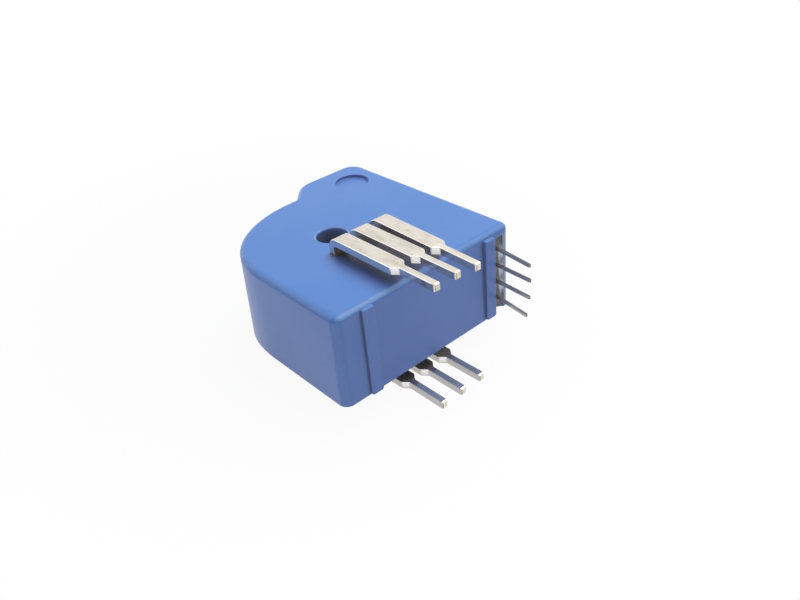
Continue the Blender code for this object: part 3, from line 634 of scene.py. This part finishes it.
def skin(name, rings, look):
    """A closed solid over rings of points, with its ends capped."""
    mesh_edit = bmesh.new()
    made = [[mesh_edit.verts.new(point) for point in ring] for ring in rings]
    for ring, following in zip(made, made[1:]):
        for index in range(len(ring)):
            after = (index + 1) % len(ring)
            mesh_edit.faces.new((ring[index], ring[after], following[after], following[index]))
    mesh_edit.faces.new(made[0][::-1])
    mesh_edit.faces.new(made[-1])
    return to_object(name, mesh_edit, look)


print("ready to make solids")

# %% Cuts, joins and shading
def combine(target, tool, operation):
    """Cuts the tool out of the target, or joins it, and removes the tool."""
    modifier = target.modifiers.new(operation.title(), "BOOLEAN")
    modifier.operation = operation
    modifier.solver = "EXACT"
    modifier.object = tool
    evaluated = target.evaluated_get(bpy.context.evaluated_depsgraph_get())
    result = bpy.data.meshes.new_from_object(evaluated)
    target.modifiers.clear()
    target.data = result
    bpy.data.objects.remove(tool, do_unlink=True)


def settle_shading(target, sharp_angle):
    """Smooth shading for a piece whose flat faces meet roundings; the angle is in degrees."""
    target.data.shade_smooth()
    target.data.set_sharp_from_angle(angle=radians(sharp_angle))
    weighted = target.modifiers.new("Weighted", "WEIGHTED_NORMAL")
    weighted.mode = "FACE_AREA"
    weighted.weight = 60
    weighted.keep_sharp = True


print("ready to cut")

# %% Cutters with a flared rim
FLARE_STEPS = 6
CIRCLE_STEPS = 72


def flare(rim_z, rounding, from_z):
    """Pairs of (growth, z) for a cutter that widens into a rounded rim at rim_z."""
    side = 1 if rim_z > from_z else -1
    stations = [(0.0, from_z)]
    for step in range(FLARE_STEPS + 1):
        angle = pi / 2 * step / FLARE_STEPS
        stations.append((rounding * (1 - cos(angle)), rim_z - side * rounding * (1 - sin(angle))))
    stations.append((rounding, rim_z + side * rounding))
    return stations


def circle(centre, radius):
    x, y = centre
    angles = [2 * pi * step / CIRCLE_STEPS for step in range(CIRCLE_STEPS)]
    return [Vector((x + radius * cos(angle), y + radius * sin(angle))) for angle in angles]


def rounded_rectangle(centre, width, height, radius):
    x, y = centre
    corners = [Vector((x + side_x * width / 2, y + side_y * height / 2))
               for side_x, side_y in ((-1, -1), (1, -1), (1, 1), (-1, 1))]
    points = []
    for index, corner in enumerate(corners):
        points += corner_arc(corners[index - 1], corner, corners[(index + 1) % 4], radius)
    return points


print("sections of a cutter:", len(flare(case_high.z, HOLE_RADIUS, 0.0)))

# %% [markdown]
# ## The case
# It is one moulding. It could be put together from walls and roundings, but then every joint would
# have to fit. Instead a skin over its outline gives a full block with the rounded front edge, and
# the rest is added and cut as a toolmaker would: the ribs, the cavity, the post that the bars pass
# through, the tube of the round hole, the hole and the slots, the mould mark, and the notch for the
# thin pins.

# %% Case: walls and rounded front edge
FRONT_EDGE_RADIUS = 0.7 * MM
RIGHT_EDGE_RADIUS = 0.72 * MM
RIGHT_OUT_FRONT = 0.17 * MM
RIGHT_OUT_BEHIND = 0.02 * MM
DRAFT = 0.12 * MM
BACK_EDGE_RADIUS = 0.10 * MM
BACK_EDGE_STEPS = 3
EDGE_STEPS = 10


def case_body():
    """Rings of (inset, inset of the right wall, depth, z), from the back edge to the front face."""
    rings = []
    for step in range(BACK_EDGE_STEPS + 1):
        angle = pi / 2 * step / BACK_EDGE_STEPS
        inset = BACK_EDGE_RADIUS * (1 - sin(angle))
        rings.append((inset, inset - RIGHT_OUT_BEHIND, 1.0,
                      case_low.z + BACK_EDGE_RADIUS * (1 - cos(angle))))
    for step in range(EDGE_STEPS + 1):
        angle = pi / 2 * step / EDGE_STEPS
        below = FRONT_EDGE_RADIUS * (1 - sin(angle))
        up_right = max(RIGHT_EDGE_RADIUS - below, 0)
        right_inset = RIGHT_EDGE_RADIUS - sqrt(RIGHT_EDGE_RADIUS ** 2 - up_right ** 2)
        rings.append((DRAFT + FRONT_EDGE_RADIUS * (1 - cos(angle)), right_inset - RIGHT_OUT_FRONT,
                      0.0, case_high.z - below))
    return skin("case", [[(p.x, p.y, z) for p in case_outline(inset, right_inset, depth)]
                         for inset, right_inset, depth, z in rings], BLUE)


case = case_body()
print("case body faces:", len(case.data.polygons))

# %% Case: ribs that stand on the circuit board
WALL = 0.9 * MM
RIB_WIDTH = 1.4 * MM
RIB_EDGE = 0.12 * MM
RIB_EDGE_STEPS = 4
RIB_END_ROUNDING = 0.25 * MM
LEFT_RIB = {"x": 0.0, "low_z": -4.97 * MM, "high_z": 4.60 * MM}
RIGHT_RIB = {"x": 15.82 * MM, "low_z": -4.88 * MM, "high_z": 4.42 * MM}


def rib(x, low_z, high_z):
    """A bar with rounded ends and edges, from inside the base wall to the board."""
    centre, length = (x, (low_z + high_z) / 2), high_z - low_z
    rings = [(0.0, BASE_Y + WALL / 2)]
    for step in range(RIB_EDGE_STEPS + 1):
        angle = pi / 2 * step / RIB_EDGE_STEPS
        rings.append((RIB_EDGE * (1 - cos(angle)), case_low.y + RIB_EDGE * (1 - sin(angle))))
    return skin("rib", [[(p.x, y, p.y) for p in rounded_rectangle(
        centre, RIB_WIDTH - 2 * inset, length - 2 * inset, RIB_END_ROUNDING - inset)]
        for inset, y in rings], BLUE)


for rib_place in (LEFT_RIB, RIGHT_RIB):
    combine(case, rib(**rib_place), "UNION")
print("faces with ribs:", len(case.data.polygons))

# %% Case: cavity, post and tube
FRONT_WALL = 1.0 * MM
CAVITY_FRONT = case_high.z - FRONT_WALL
POST_WIDTH = 8.13 * MM
POST_HEIGHT = 2.1 * MM
POST_CORNER = 0.8 * MM
TUBE_WALL = 0.8 * MM
BEYOND = 0.3 * MM


def straight(name, outline, low_z, high_z):
    return skin(name, [[(p.x, p.y, z) for p in outline] for z in (low_z, high_z)], BLUE)


combine(case, straight("cavity", case_outline(WALL), case_low.z - BEYOND, CAVITY_FRONT), "DIFFERENCE")
post = rounded_rectangle((BAR_X[1], WEB_Y), POST_WIDTH, POST_HEIGHT, POST_CORNER)
combine(case, straight("post", post, case_low.z, CAVITY_FRONT + FRONT_WALL / 2), "UNION")
tube = circle(HOLE, HOLE_RADIUS + TUBE_WALL)
combine(case, straight("tube", tube, case_low.z, CAVITY_FRONT + FRONT_WALL / 2), "UNION")
print("faces with cavity, post and tube:", len(case.data.polygons))

# %% Case: hole, slots and mould mark
HOLE_RIM = 0.30 * MM
BAR_WIDTH = bar_boxes[0][1].x - bar_boxes[0][0].x
SLOT_AIR = 0.03 * MM
SLOT_RIM = 0.06 * MM
SLOT_CORNER = 0.12 * MM
MARK_FROM_RIGHT = 3.5 * MM
MARK_FROM_TOP = 4.35 * MM
MARK = Vector((case_high.x - MARK_FROM_RIGHT, case_high.y - MARK_FROM_TOP))
MARK_RADIUS = 1.9 * MM
MARK_DEPTH = 0.37 * MM
MARK_EDGE = 0.06 * MM


def through_cutter(name, outline_at, rounding):
    """A cutter right through the case, with a rounded rim on both faces."""
    stations = flare(case_low.z, rounding, 0.0)[::-1]
    stations += flare(case_high.z, rounding, 0.0)[1:]
    return skin(name, [[(p.x, p.y, z) for p in outline_at(growth)] for growth, z in stations], BLUE)


def slot_outline(x):
    """A function of the growth that gives the outline of the slot round the bar at x."""
    def outline(growth):
        reach = 2 * (SLOT_AIR + growth)
        return rounded_rectangle((x, WEB_Y), BAR_WIDTH + reach, BAR_THICKNESS + reach,
                                 SLOT_CORNER + growth)
    return outline


combine(case, through_cutter("hole", lambda growth: circle(HOLE, HOLE_RADIUS + growth), HOLE_RIM),
        "DIFFERENCE")
for bar_x in BAR_X:
    combine(case, through_cutter("slot", slot_outline(bar_x), SLOT_RIM), "DIFFERENCE")
mark_floor = case_high.z - MARK_DEPTH
mark = [(-MARK_EDGE, mark_floor)] + flare(case_high.z, MARK_EDGE, mark_floor + MARK_EDGE)
combine(case, skin("mark", [[(p.x, p.y, z) for p in circle(MARK, MARK_RADIUS + growth)]
                            for growth, z in mark], BLUE), "DIFFERENCE")
print("faces after cutting:", len(case.data.polygons))

# %% Case: notch that the thin pins leave by
CASE_SHARP_ANGLE = 32
NOTCH_LEFT_OF_PINS = 0.52 * MM
NOTCH_WALL = 0.78 * MM
NOTCH_LEFT = PIN_X - NOTCH_LEFT_OF_PINS
NOTCH_RIGHT = case_high.x - NOTCH_WALL
NOTCH_FRONT = 3.91 * MM
NOTCH_CORNER = 0.15 * MM
NOTCH_FOOT_HEIGHT = 0.35 * MM
NOTCH_FOOT_DEPTH = 1.0 * MM
NOTCH_FOOT_CORNER = 0.2 * MM


def notch_cutter():
    width, length = NOTCH_RIGHT - NOTCH_LEFT, NOTCH_FRONT - case_low.z + BEYOND
    middle = ((NOTCH_LEFT + NOTCH_RIGHT) / 2, (case_low.z - BEYOND + NOTCH_FRONT) / 2)
    outline = rounded_rectangle(middle, width, length, NOTCH_CORNER)
    return skin("notch", [[(p.x, y, p.y) for p in outline]
                          for y in (case_low.y - BEYOND, BASE_Y + WALL + BEYOND)], BLUE)


def notch_foot():
    """The rim beside the notch is lower than the rest, down to the resin."""
    outline = rounded_rectangle((case_high.x, BASE_Y), 2 * (case_high.x - NOTCH_LEFT),
                                2 * NOTCH_FOOT_DEPTH, NOTCH_FOOT_CORNER)
    return straight("foot", outline, case_low.z - BEYOND, case_low.z + NOTCH_FOOT_HEIGHT)


combine(case, notch_cutter(), "DIFFERENCE")
combine(case, notch_foot(), "DIFFERENCE")
settle_shading(case, CASE_SHARP_ANGLE)
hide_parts("housing")
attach(case, "root")
print("case faces:", len(case.data.polygons))

# %% [markdown]
# ## Resin in the back and in the notch
# The resin closes the back a little below the rim and stands in the notch round the thin pins.
# A flat plate would do for the back, but a cast surface climbs where it touches a wall, and that
# small curve catches the light. At the back the curve is a row of rings; in the notch, where the
# curves of four pins and three walls meet, it is worked out for every point of a fine grid. The
# lower end of the notch was filled unevenly, so the grid's last rows slant up to the left.

# %% Resin: how it climbs a wall
RESIN_THICKNESS = 0.85 * MM
RESIN_BACK = case_low.z + NOTCH_FOOT_HEIGHT
RESIN_INNER = RESIN_BACK + RESIN_THICKNESS
CLIMB = 0.28 * MM
CLIMB_WIDTH = 0.45 * MM
CLIMB_STEPS = 8
OVERLAP = 0.02 * MM


def climb(distance):
    """How far the resin has climbed, at a distance from a wall."""
    share = min(max(distance / CLIMB_WIDTH, 0.0), 1.0)
    return CLIMB * (1 - share) ** 3


def climbing_rings(outline_at):
    """Rings from the top of the climb at a wall down to the flat resin."""
    rings = []
    for step in range(CLIMB_STEPS + 1):
        distance = CLIMB_WIDTH * step / CLIMB_STEPS
        z = RESIN_BACK - climb(distance)
        rings.append([(p.x, p.y, z) for p in outline_at(distance - OVERLAP)])
    return rings


print("climb half way out", round(climb(CLIMB_WIDTH / 2) / MM, 3), "mm")

# %% Resin: the plate in the back
def round_wall(reach):
    return case_outline(WALL + reach)


def round_post(reach):
    return rounded_rectangle((BAR_X[1], WEB_Y), POST_WIDTH + 2 * reach, POST_HEIGHT + 2 * reach,
                             POST_CORNER + reach)


def round_tube(reach):
    return circle(HOLE, HOLE_RADIUS + TUBE_WALL + reach)


inner_side = [(p.x, p.y, RESIN_INNER) for p in round_wall(-OVERLAP)]
resin = skin("resin", [inner_side] + climbing_rings(round_wall), RESIN)
for outline_at in (round_post, round_tube):
    skirt = climbing_rings(outline_at)[::-1]
    sunk = [(x, y, RESIN_INNER - OVERLAP) for x, y, z in skirt[0]]
    combine(resin, skin("skirt", [sunk] + skirt, RESIN), "UNION")
    passage = straight("passage", outline_at(-OVERLAP), case_low.z - BEYOND, 0.0)
    combine(resin, passage, "DIFFERENCE")
print("faces of the resin in the back:", len(resin.data.polygons))

# %% Resin: the surface in the notch
NOTCH_RESIN_DROP = 0.12 * MM
NOTCH_HOLLOW = 0.12 * MM
LEFT_CLIMB = 0.04 * MM
RIGHT_CLIMB = 0.12 * MM
FRONT_CLIMB = 0.10 * MM
NOTCH_CLIMB_WIDTH = 0.30 * MM
PIN_CLIMB = 0.50 * MM
PIN_CLIMB_WIDTH = 0.70 * MM
NOTCH_RESIN_DEPTH = 1.4 * MM
NOTCH_END_SLANT = 0.6 * MM
GRID_STEP = 0.06 * MM
PIN_WIDTH = 0.42 * MM
PIN_THICKNESS = 0.22 * MM
PIN_Z = [PIN_PITCH * (1.5 - index) for index in range(4)]


def base_at(z):
    """Y of the base, which slopes a little from the front face to the back rim."""
    forward = min((z - case_low.z) / (case_high.z - FRONT_EDGE_RADIUS - case_low.z), 1)
    return BASE_Y - BASE_OUT_BEHIND + (BASE_OUT_BEHIND + DRAFT - BASE_OUT_FRONT_RIGHT) * forward


def notch_surface(x, z):
    """Y of the resin in the notch; it climbs towards the board, to smaller Y."""
    walls = ((LEFT_CLIMB, x - NOTCH_LEFT), (RIGHT_CLIMB, NOTCH_RIGHT - x),
             (FRONT_CLIMB, NOTCH_FRONT - z))
    around_pins = [hypot(max(abs(x - PIN_X) - PIN_THICKNESS / 2, 0),
                         max(abs(z - pin_z) - PIN_WIDTH / 2, 0)) for pin_z in PIN_Z]
    up_walls = max(height * exp(-max(distance, 0) / NOTCH_CLIMB_WIDTH)
                   for height, distance in walls)
    up_pins = PIN_CLIMB * max(1 - min(around_pins) / PIN_CLIMB_WIDTH, 0) ** 2
    beyond_pins = min(max((z - PIN_Z[0]) / (NOTCH_FRONT - PIN_Z[0]), 0), 1)
    drop = NOTCH_RESIN_DROP + NOTCH_HOLLOW * beyond_pins - up_walls - up_pins
    return base_at(z) + max(drop, OVERLAP / 2)


def slanted(x, z):
    """Z of a grid point: the resin's lower end rises to the left."""
    leftward = (NOTCH_RIGHT - x) / (NOTCH_RIGHT - NOTCH_LEFT)
    downward = (NOTCH_FRONT - z) / (NOTCH_FRONT - RESIN_BACK)
    return z + NOTCH_END_SLANT * leftward * downward


print("resin beside the first pin at y", round(notch_surface(PIN_X, PIN_Z[0]) / MM, 2), "mm")

# %% Resin: the plug in the notch
RESIN_SHARP_ANGLE = 50


def notch_plug():
    """A solid whose outer sheet is the resin's surface and whose inner sheet is flat."""
    columns = np.arange(NOTCH_LEFT - OVERLAP, NOTCH_RIGHT + OVERLAP + GRID_STEP / 2, GRID_STEP)
    rows = np.arange(RESIN_BACK, NOTCH_FRONT + OVERLAP + GRID_STEP / 2, GRID_STEP)
    grid = [[(x, slanted(x, z)) for x in columns] for z in rows]
    mesh_edit = bmesh.new()
    outer = [[mesh_edit.verts.new((x, notch_surface(x, z), z)) for x, z in row] for row in grid]
    inner = [[mesh_edit.verts.new((x, BASE_Y + NOTCH_RESIN_DEPTH, z)) for x, z in row]
             for row in grid]
    for sheet in (outer, inner):
        for row, following in zip(sheet, sheet[1:]):
            for index in range(len(row) - 1):
                mesh_edit.faces.new((row[index], row[index + 1],
                                     following[index + 1], following[index]))
    rim = [(row, index) for row in (0, len(rows) - 1) for index in range(len(columns) - 1)]
    for row, index in rim:
        mesh_edit.faces.new((outer[row][index], outer[row][index + 1],
                             inner[row][index + 1], inner[row][index]))
    for row in range(len(rows) - 1):
        for index in (0, len(columns) - 1):
            mesh_edit.faces.new((outer[row][index], outer[row + 1][index],
                                 inner[row + 1][index], inner[row][index]))
    return to_object("plug", mesh_edit, RESIN)


combine(resin, notch_plug(), "UNION")
settle_shading(resin, RESIN_SHARP_ANGLE)
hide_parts("potting_resin")
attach(resin, "root")
print("faces of the resin:", len(resin.data.polygons))

# %% [markdown]
# ## Bars
# Each bar is a strip bent into a U: down through the post, then two legs towards the board that
# narrow into solder pins. It is a skin over sections that walk along the strip; a curve with a
# bevel would be quicker, but it can't narrow only the width. Punching rounds the edges on one side,
# here the outside of the bends, and the tip of each pin is struck into a blunt point. Some legs
# lean a little from handling.

# %% Section of a strip
STRIP_EDGE_STEPS = 6


def strip_section(width, thickness, inside_edge, outside_edge):
    """Points (across, up) round the section, where up is towards the inside of the bends."""
    corners = ((1, -1, outside_edge), (1, 1, inside_edge),
               (-1, 1, inside_edge), (-1, -1, outside_edge))
    points = []
    for turn, (side, up, edge) in enumerate(corners):
        centre_x = side * (width / 2 - edge)
        centre_z = up * (thickness / 2 - edge)
        for step in range(STRIP_EDGE_STEPS + 1):
            angle = pi / 2 * (turn - 1 + step / STRIP_EDGE_STEPS)
            points.append((centre_x + edge * cos(angle), centre_z + edge * sin(angle)))
    return points


def strip(name, stations, x, edges, look):
    """A strip over stations of (y, z, heading, width, thickness), heading from +Y to +Z.

    The edges are the roundings inside and outside, and shrink where the strip gets thinner.
    """
    rings = []
    for y, z, heading, width, thickness in stations:
        across = Vector((0, -sin(heading), cos(heading)))
        share = thickness / stations[len(stations) // 2][4]
        section = strip_section(width, thickness, edges[0] * share, edges[1] * share)
        rings.append([Vector((x + aside, y, z)) + across * up for aside, up in section])
    return skin(name, rings, look)


print("points round a strip:", 4 * (STRIP_EDGE_STEPS + 1))

# %% Sizes of a bar
BAR_EDGES = (0.05 * MM, 0.10 * MM)
BEND_RADIUS = 0.45 * MM
BEND_STEPS = 16
SHOULDER_STEPS = 12
SHOULDER_Y = 0.20 * MM
SHOULDER_LENGTH = 0.75 * MM
SHOULDER_SOFTNESS = 0.4
SOLDER_PIN_WIDTH = 0.7 * MM
SOLDER_PIN_LENGTH = 5.0 * MM
TIP_LENGTH = 0.26 * MM
TIP_NARROWING = 0.16 * MM
TIP_BLUNTNESS = 0.95
TIP_STEPS = 4
LEG_GAP = 1.1 * MM
LEG_Z = case_high.z + LEG_GAP + BAR_THICKNESS / 2
FRONT_LEAN = (0.0, 0.0, radians(1.6))
BACK_LEAN = (radians(-0.3), 0.0, radians(0.6))
print("legs", round(2 * LEG_Z / MM, 2), "mm apart")


# %% Sections along a leg
def leg_stations(side, lean):
    """From the middle of the bar to the tip of a solder pin; side is 1 at the front."""
    mean_radius = BEND_RADIUS + BAR_THICKNESS / 2
    y, z = WEB_Y - mean_radius, side * (LEG_Z - mean_radius)
    stations = [(WEB_Y, 0.0, side * pi / 2, BAR_WIDTH, BAR_THICKNESS)]
    for step in range(BEND_STEPS + 1):
        turn = (pi / 2 + lean) * step / BEND_STEPS
        stations.append((y + mean_radius * cos(turn), z + side * mean_radius * sin(turn),
                         side * (pi / 2 + turn), BAR_WIDTH, BAR_THICKNESS))
    y, z, heading = stations[-1][:3]
    shoulder = y - BASE_Y - SHOULDER_Y
    tip = y - BASE_Y + SOLDER_PIN_LENGTH
    reaches = []
    for step in range(SHOULDER_STEPS + 1):
        share = step / SHOULDER_STEPS
        soft = share * share * (3 - 2 * share)
        narrowing = (BAR_WIDTH - SOLDER_PIN_WIDTH) * (share + (soft - share) * SHOULDER_SOFTNESS)
        reaches.append((shoulder + SHOULDER_LENGTH * share, BAR_WIDTH - narrowing, BAR_THICKNESS))
    for step in range(TIP_STEPS + 1):
        share = step / TIP_STEPS
        narrowing = 2 * TIP_NARROWING * (1 - sqrt(1 - TIP_BLUNTNESS * share ** 2))
        reaches.append((tip - TIP_LENGTH * (1 - share), SOLDER_PIN_WIDTH - narrowing,
                        BAR_THICKNESS - narrowing))
    for reach, width, thickness in reaches:
        stations.append((y + reach * cos(heading), z + reach * sin(heading), heading,
                         width, thickness))
    return stations


print("stations on a leg:", len(leg_stations(1, 0.0)))

# %% Bars in place
STRIP_SHARP_ANGLE = 20

for number, (bar_x, front_lean, back_lean) in enumerate(zip(BAR_X, FRONT_LEAN, BACK_LEAN), start=1):
    back = [(y, z, heading + pi, width, thickness)
            for y, z, heading, width, thickness in reversed(leg_stations(-1, back_lean))]
    bar = strip(f"bar_{number}", back[:-1] + leg_stations(1, front_lean), bar_x, BAR_EDGES, BAR_TIN)
    settle_shading(bar, STRIP_SHARP_ANGLE)
    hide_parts(f"primary_bar_{number}")
    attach(bar, "root")
print("faces of a bar:", len(bar.data.polygons))

# %% [markdown]
# ## Thin pins
# Four pins of stamped strip carry the supply and the output. They were straight when they left
# the press; the ones in the photograph have been bent a little, each by a different amount. They
# could be turned as whole pieces, but a real pin bends where it leaves the resin and stays straight
# beyond, so each is a strip with a short knee at its foot.

# %% Thin pins
PIN_KNEE_Y = BASE_Y + 0.3 * MM
PIN_KNEE_LENGTH = 0.25 * MM
PIN_ROOT_Y = BASE_Y + 4.2 * MM
PIN_REACH = (4.80 * MM, 4.88 * MM, 4.80 * MM, 4.50 * MM)
PIN_LEAN = (radians(5.8), radians(2.2), radians(3.2), radians(9.0))
PIN_SHIFT = (0.07 * MM, 0.02 * MM, 0.0, 0.0)
PIN_EDGE = 0.05 * MM
PIN_TIP_LENGTH = 0.12 * MM
PIN_TIP_NARROWING = 0.04 * MM
KNEE_STEPS = 5


def pin_stations(pin_z, lean, reach):
    """From the root inside the case, round the knee to the tip."""
    stations = [(PIN_ROOT_Y, pin_z, pi, PIN_THICKNESS, PIN_WIDTH),
                (PIN_KNEE_Y, pin_z, pi, PIN_THICKNESS, PIN_WIDTH)]
    y, z = PIN_KNEE_Y, pin_z
    for step in range(1, KNEE_STEPS + 1):
        heading = pi + lean * step / KNEE_STEPS
        y += PIN_KNEE_LENGTH / KNEE_STEPS * cos(heading)
        z += PIN_KNEE_LENGTH / KNEE_STEPS * sin(heading)
        stations.append((y, z, heading, PIN_THICKNESS, PIN_WIDTH))
    rest = reach - PIN_KNEE_LENGTH
    for along, narrowing in ((rest - PIN_TIP_LENGTH, 0.0), (rest, PIN_TIP_NARROWING)):
        stations.append((y + along * cos(heading), z + along * sin(heading), heading,
                         PIN_THICKNESS - 2 * narrowing, PIN_WIDTH - 2 * narrowing))
    return stations


shifted_z = np.add(PIN_Z, PIN_SHIFT)
for number, pin_shape in enumerate(zip(shifted_z, PIN_LEAN, PIN_REACH), start=1):
    pin = strip(f"pin_{number}", pin_stations(*pin_shape), PIN_X, (PIN_EDGE, PIN_EDGE), PIN_TIN)
    settle_shading(pin, STRIP_SHARP_ANGLE)
    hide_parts(f"secondary_pin_{number}")
    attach(pin, "root")
print("pins at z", [round(z / MM, 2) for z in shifted_z], "mm")

# %% [markdown]
# ## Inside the case
# The core, its coil and the circuit board are closed in, so nobody sees them unless the case is
# taken off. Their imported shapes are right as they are, and each only gets its own finish. One
# function is enough for all of them: two tones of one colour, with gloss and relief to match.

# %% Finishes of the inner pieces
def plain_finish(name, dark, light, size, roughness, relief, stretch=(1, 1, 1), **constants):
    """Two tones of one colour over a noise, with gloss and relief from the same noise."""
    finish = Finish(name, **constants)
    tone = finish.noise(size, detail=3.0, stretch=stretch)
    fine = finish.noise(size / 4, detail=3.0, roughness=0.6, stretch=stretch)
    finish.feed("Base Color", finish.blend(tone.above(0.35, 0.65), dark, light))
    finish.feed("Roughness", roughness + 0.15 * fine)
    finish.bump(0.5 * tone + 0.5 * fine, relief)
    return finish.material


CORE_METAL = plain_finish(
    "laminated_core_metal", colour(0.16, 0.16, 0.17), colour(0.27, 0.27, 0.28), size=0.3 * MM,
    roughness=0.38, relief=0.004 * MM, stretch=(12, 12, 0.4), Metallic=1.0)
CORE_CASE = plain_finish(
    "natural_case_plastic", colour(0.76, 0.74, 0.66), colour(0.84, 0.82, 0.75), size=1.2 * MM,
    roughness=0.42, relief=0.004 * MM)
WIRE = plain_finish(
    "enamelled_copper_wire", colour(0.52, 0.19, 0.07), colour(0.72, 0.33, 0.15), size=0.12 * MM,
    roughness=0.22, relief=0.010 * MM, stretch=(0.6, 0.6, 6), Metallic=1.0)
CHIP = plain_finish(
    "black_chip_plastic", colour(0.016, 0.016, 0.018), colour(0.030, 0.030, 0.032),
    size=0.10 * MM, roughness=0.50, relief=0.004 * MM)
BOARD = plain_finish(
    "green_board", colour(0.020, 0.130, 0.055), colour(0.040, 0.190, 0.085), size=0.8 * MM,
    roughness=0.25, relief=0.006 * MM, stretch=(0.4, 3, 1))
CAPACITOR = plain_finish(
    "orange_capacitor", colour(0.66, 0.31, 0.05), colour(0.78, 0.41, 0.09), size=0.3 * MM,
    roughness=0.34, relief=0.003 * MM)
RESISTOR = plain_finish(
    "glazed_resistor", colour(0.045, 0.045, 0.055), colour(0.080, 0.080, 0.090), size=0.2 * MM,
    roughness=0.20, relief=0.003 * MM)
print("finishes ready, the last is", RESISTOR.name)

# %% Inner pieces in their finishes
INNER_FINISHES = {
    "magnetic_core": CORE_METAL,
    "core_case_front": CORE_CASE,
    "core_case_back": CORE_CASE,
    "compensation_winding": WIRE,
    "winding_lead_1": WIRE,
    "winding_lead_2": WIRE,
    "hall_element": CHIP,
    "amplifier_chip": CHIP,
    "output_transistor_1": CHIP,
    "output_transistor_2": CHIP,
    "circuit_board": BOARD,
    "supply_capacitor": CAPACITOR,
    "measuring_resistor_1": RESISTOR,
    "measuring_resistor_2": RESISTOR,
    "measuring_resistor_3": RESISTOR,
}
for node_name, look in INNER_FINISHES.items():
    for material_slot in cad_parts[node_name].material_slots:
        material_slot.material = look
print("inner pieces with a finish:", len(INNER_FINISHES))

# %% [markdown]
# ## The table and the light
# The part lies on the bends of its lower bars and on the back edge of its block, so the table is
# tilted by a few degrees against the case; the tilt comes from the line that touches a bend and
# the edge. The table is white to the camera, whitest away from the part, and keeps its soft shadow.
# It could be a plain white floor, but that turns grey wherever the lamps don't reach. A broad box
# to the right and above is the main light, a second one fills from behind at the left, and the
# room itself is an even white.

# %% What the camera and mirrors see
def seen_directly(web):
    """1 for what is seen straight or in gloss or glass, 0 for light that spreads."""
    ray = web.node("ShaderNodeLightPath")
    mirrored = ray.out("Is Glossy Ray").larger(ray.out("Is Transmission Ray"))
    return ray.out("Is Camera Ray").larger(mirrored)


print("the table and the room are lit for the camera and for mirrors alike")

# %% Table
outer_bend = BEND_RADIUS + BAR_THICKNESS
bend_y = WEB_Y - BEND_RADIUS - BAR_THICKNESS / 2
bend_z = -LEG_Z + BEND_RADIUS + BAR_THICKNESS / 2
reach_y, reach_z = case_high.y - bend_y, case_low.z - bend_z
tilt = asin(outer_bend / hypot(reach_y, reach_z)) + atan2(reach_z, reach_y)
TABLE_SIZE = 3.0
TABLE_GAP = 0.01 * MM
GLOW_NEAR = 0.93
GLOW_FADE = (14 * MM, 45 * MM)
WHITE_PAPER = colour(0.85, 0.85, 0.85)


def white_table():
    """White paper that also glows for the camera, a little less near the part."""
    look = bpy.data.materials.new("white_table")
    look.use_nodes = True
    web = Web(look.node_tree)
    web.tree.nodes.clear()
    place = web.node("ShaderNodeTexCoord").out("Object")
    distance = web.node("ShaderNodeVectorMath", {"operation": "LENGTH"}, {0: place}).out("Value")
    glow_share = GLOW_NEAR + (1 - GLOW_NEAR) * distance.above(*GLOW_FADE)
    paper = web.node("ShaderNodeBsdfDiffuse", None, {"Color": WHITE_PAPER})
    glow = web.node("ShaderNodeEmission", None, {"Strength": 1.0})
    surface = web.node("ShaderNodeMixShader", None, {
        0: glow_share * seen_directly(web), 1: paper.out("BSDF"), 2: glow.out("Emission")})
    web.node("ShaderNodeOutputMaterial", None, {"Surface": surface.out("Shader")})
    return look


table_edit = bmesh.new()
bmesh.ops.create_grid(table_edit, x_segments=1, y_segments=1, size=TABLE_SIZE / 2)
table = to_object("table", table_edit, white_table())
table.rotation_euler = (tilt, 0, 0)
table.location = (BAR_X[1], case_high.y, case_low.z - TABLE_GAP)
print("table tilt", round(degrees(tilt), 2), "degrees")

# %% Room
ROOM_LIGHT = 0.34
ROOM_TINT = colour(1.0, 0.95, 0.98)
WHITE = colour(1.0, 1.0, 1.0)


def white_room():
    """An even light on the part, and plain white for the camera and for mirrors."""
    room = bpy.data.worlds.new("white_room")
    room.use_nodes = True
    web = Web(room.node_tree)
    web.tree.nodes.clear()
    seen = seen_directly(web)
    back = web.node("ShaderNodeBackground", None, {
        "Color": web.blend(seen, ROOM_TINT, WHITE),
        "Strength": ROOM_LIGHT + (1 - ROOM_LIGHT) * seen})
    web.node("ShaderNodeOutputWorld", None, {"Surface": back.out("Background")})
    return room


scene.world = white_room()
print("room light", ROOM_LIGHT)

# %% Lamps
def softbox(name, direction, distance, size, brightness, tint=(1, 1, 1)):
    """A square lamp that faces the part and shines as white paper does, times the brightness."""
    light = bpy.data.lights.new(name, "AREA")
    light.shape = "SQUARE"
    light.size = size
    light.energy = brightness * pi * size ** 2
    light.color = tint
    made = bpy.data.objects.new(name, light)
    middle = Vector((BAR_X[1], (case_low.y + case_high.y) / 2, 0))
    away = Vector(direction).normalized()
    made.location = middle + away * distance
    made.rotation_euler = away.to_track_quat("Z", "Y").to_euler()
    scene.collection.objects.link(made)
    return made


main_light = softbox("main_light", direction=(0.42, 0.02, 0.90), distance=0.26, size=0.20,
                     brightness=3.2, tint=(0.97, 0.99, 1.0))
fill_light = softbox("fill_light", direction=(-0.75, 0.45, 0.45), distance=0.30, size=0.20,
                     brightness=0.35)
print("main light at", main_light.location, "fill light at", fill_light.location)

# %% [markdown]
# ## Finish
# The colours are shown as they are written.

# %% Finish
scene.view_settings.view_transform = "Standard"
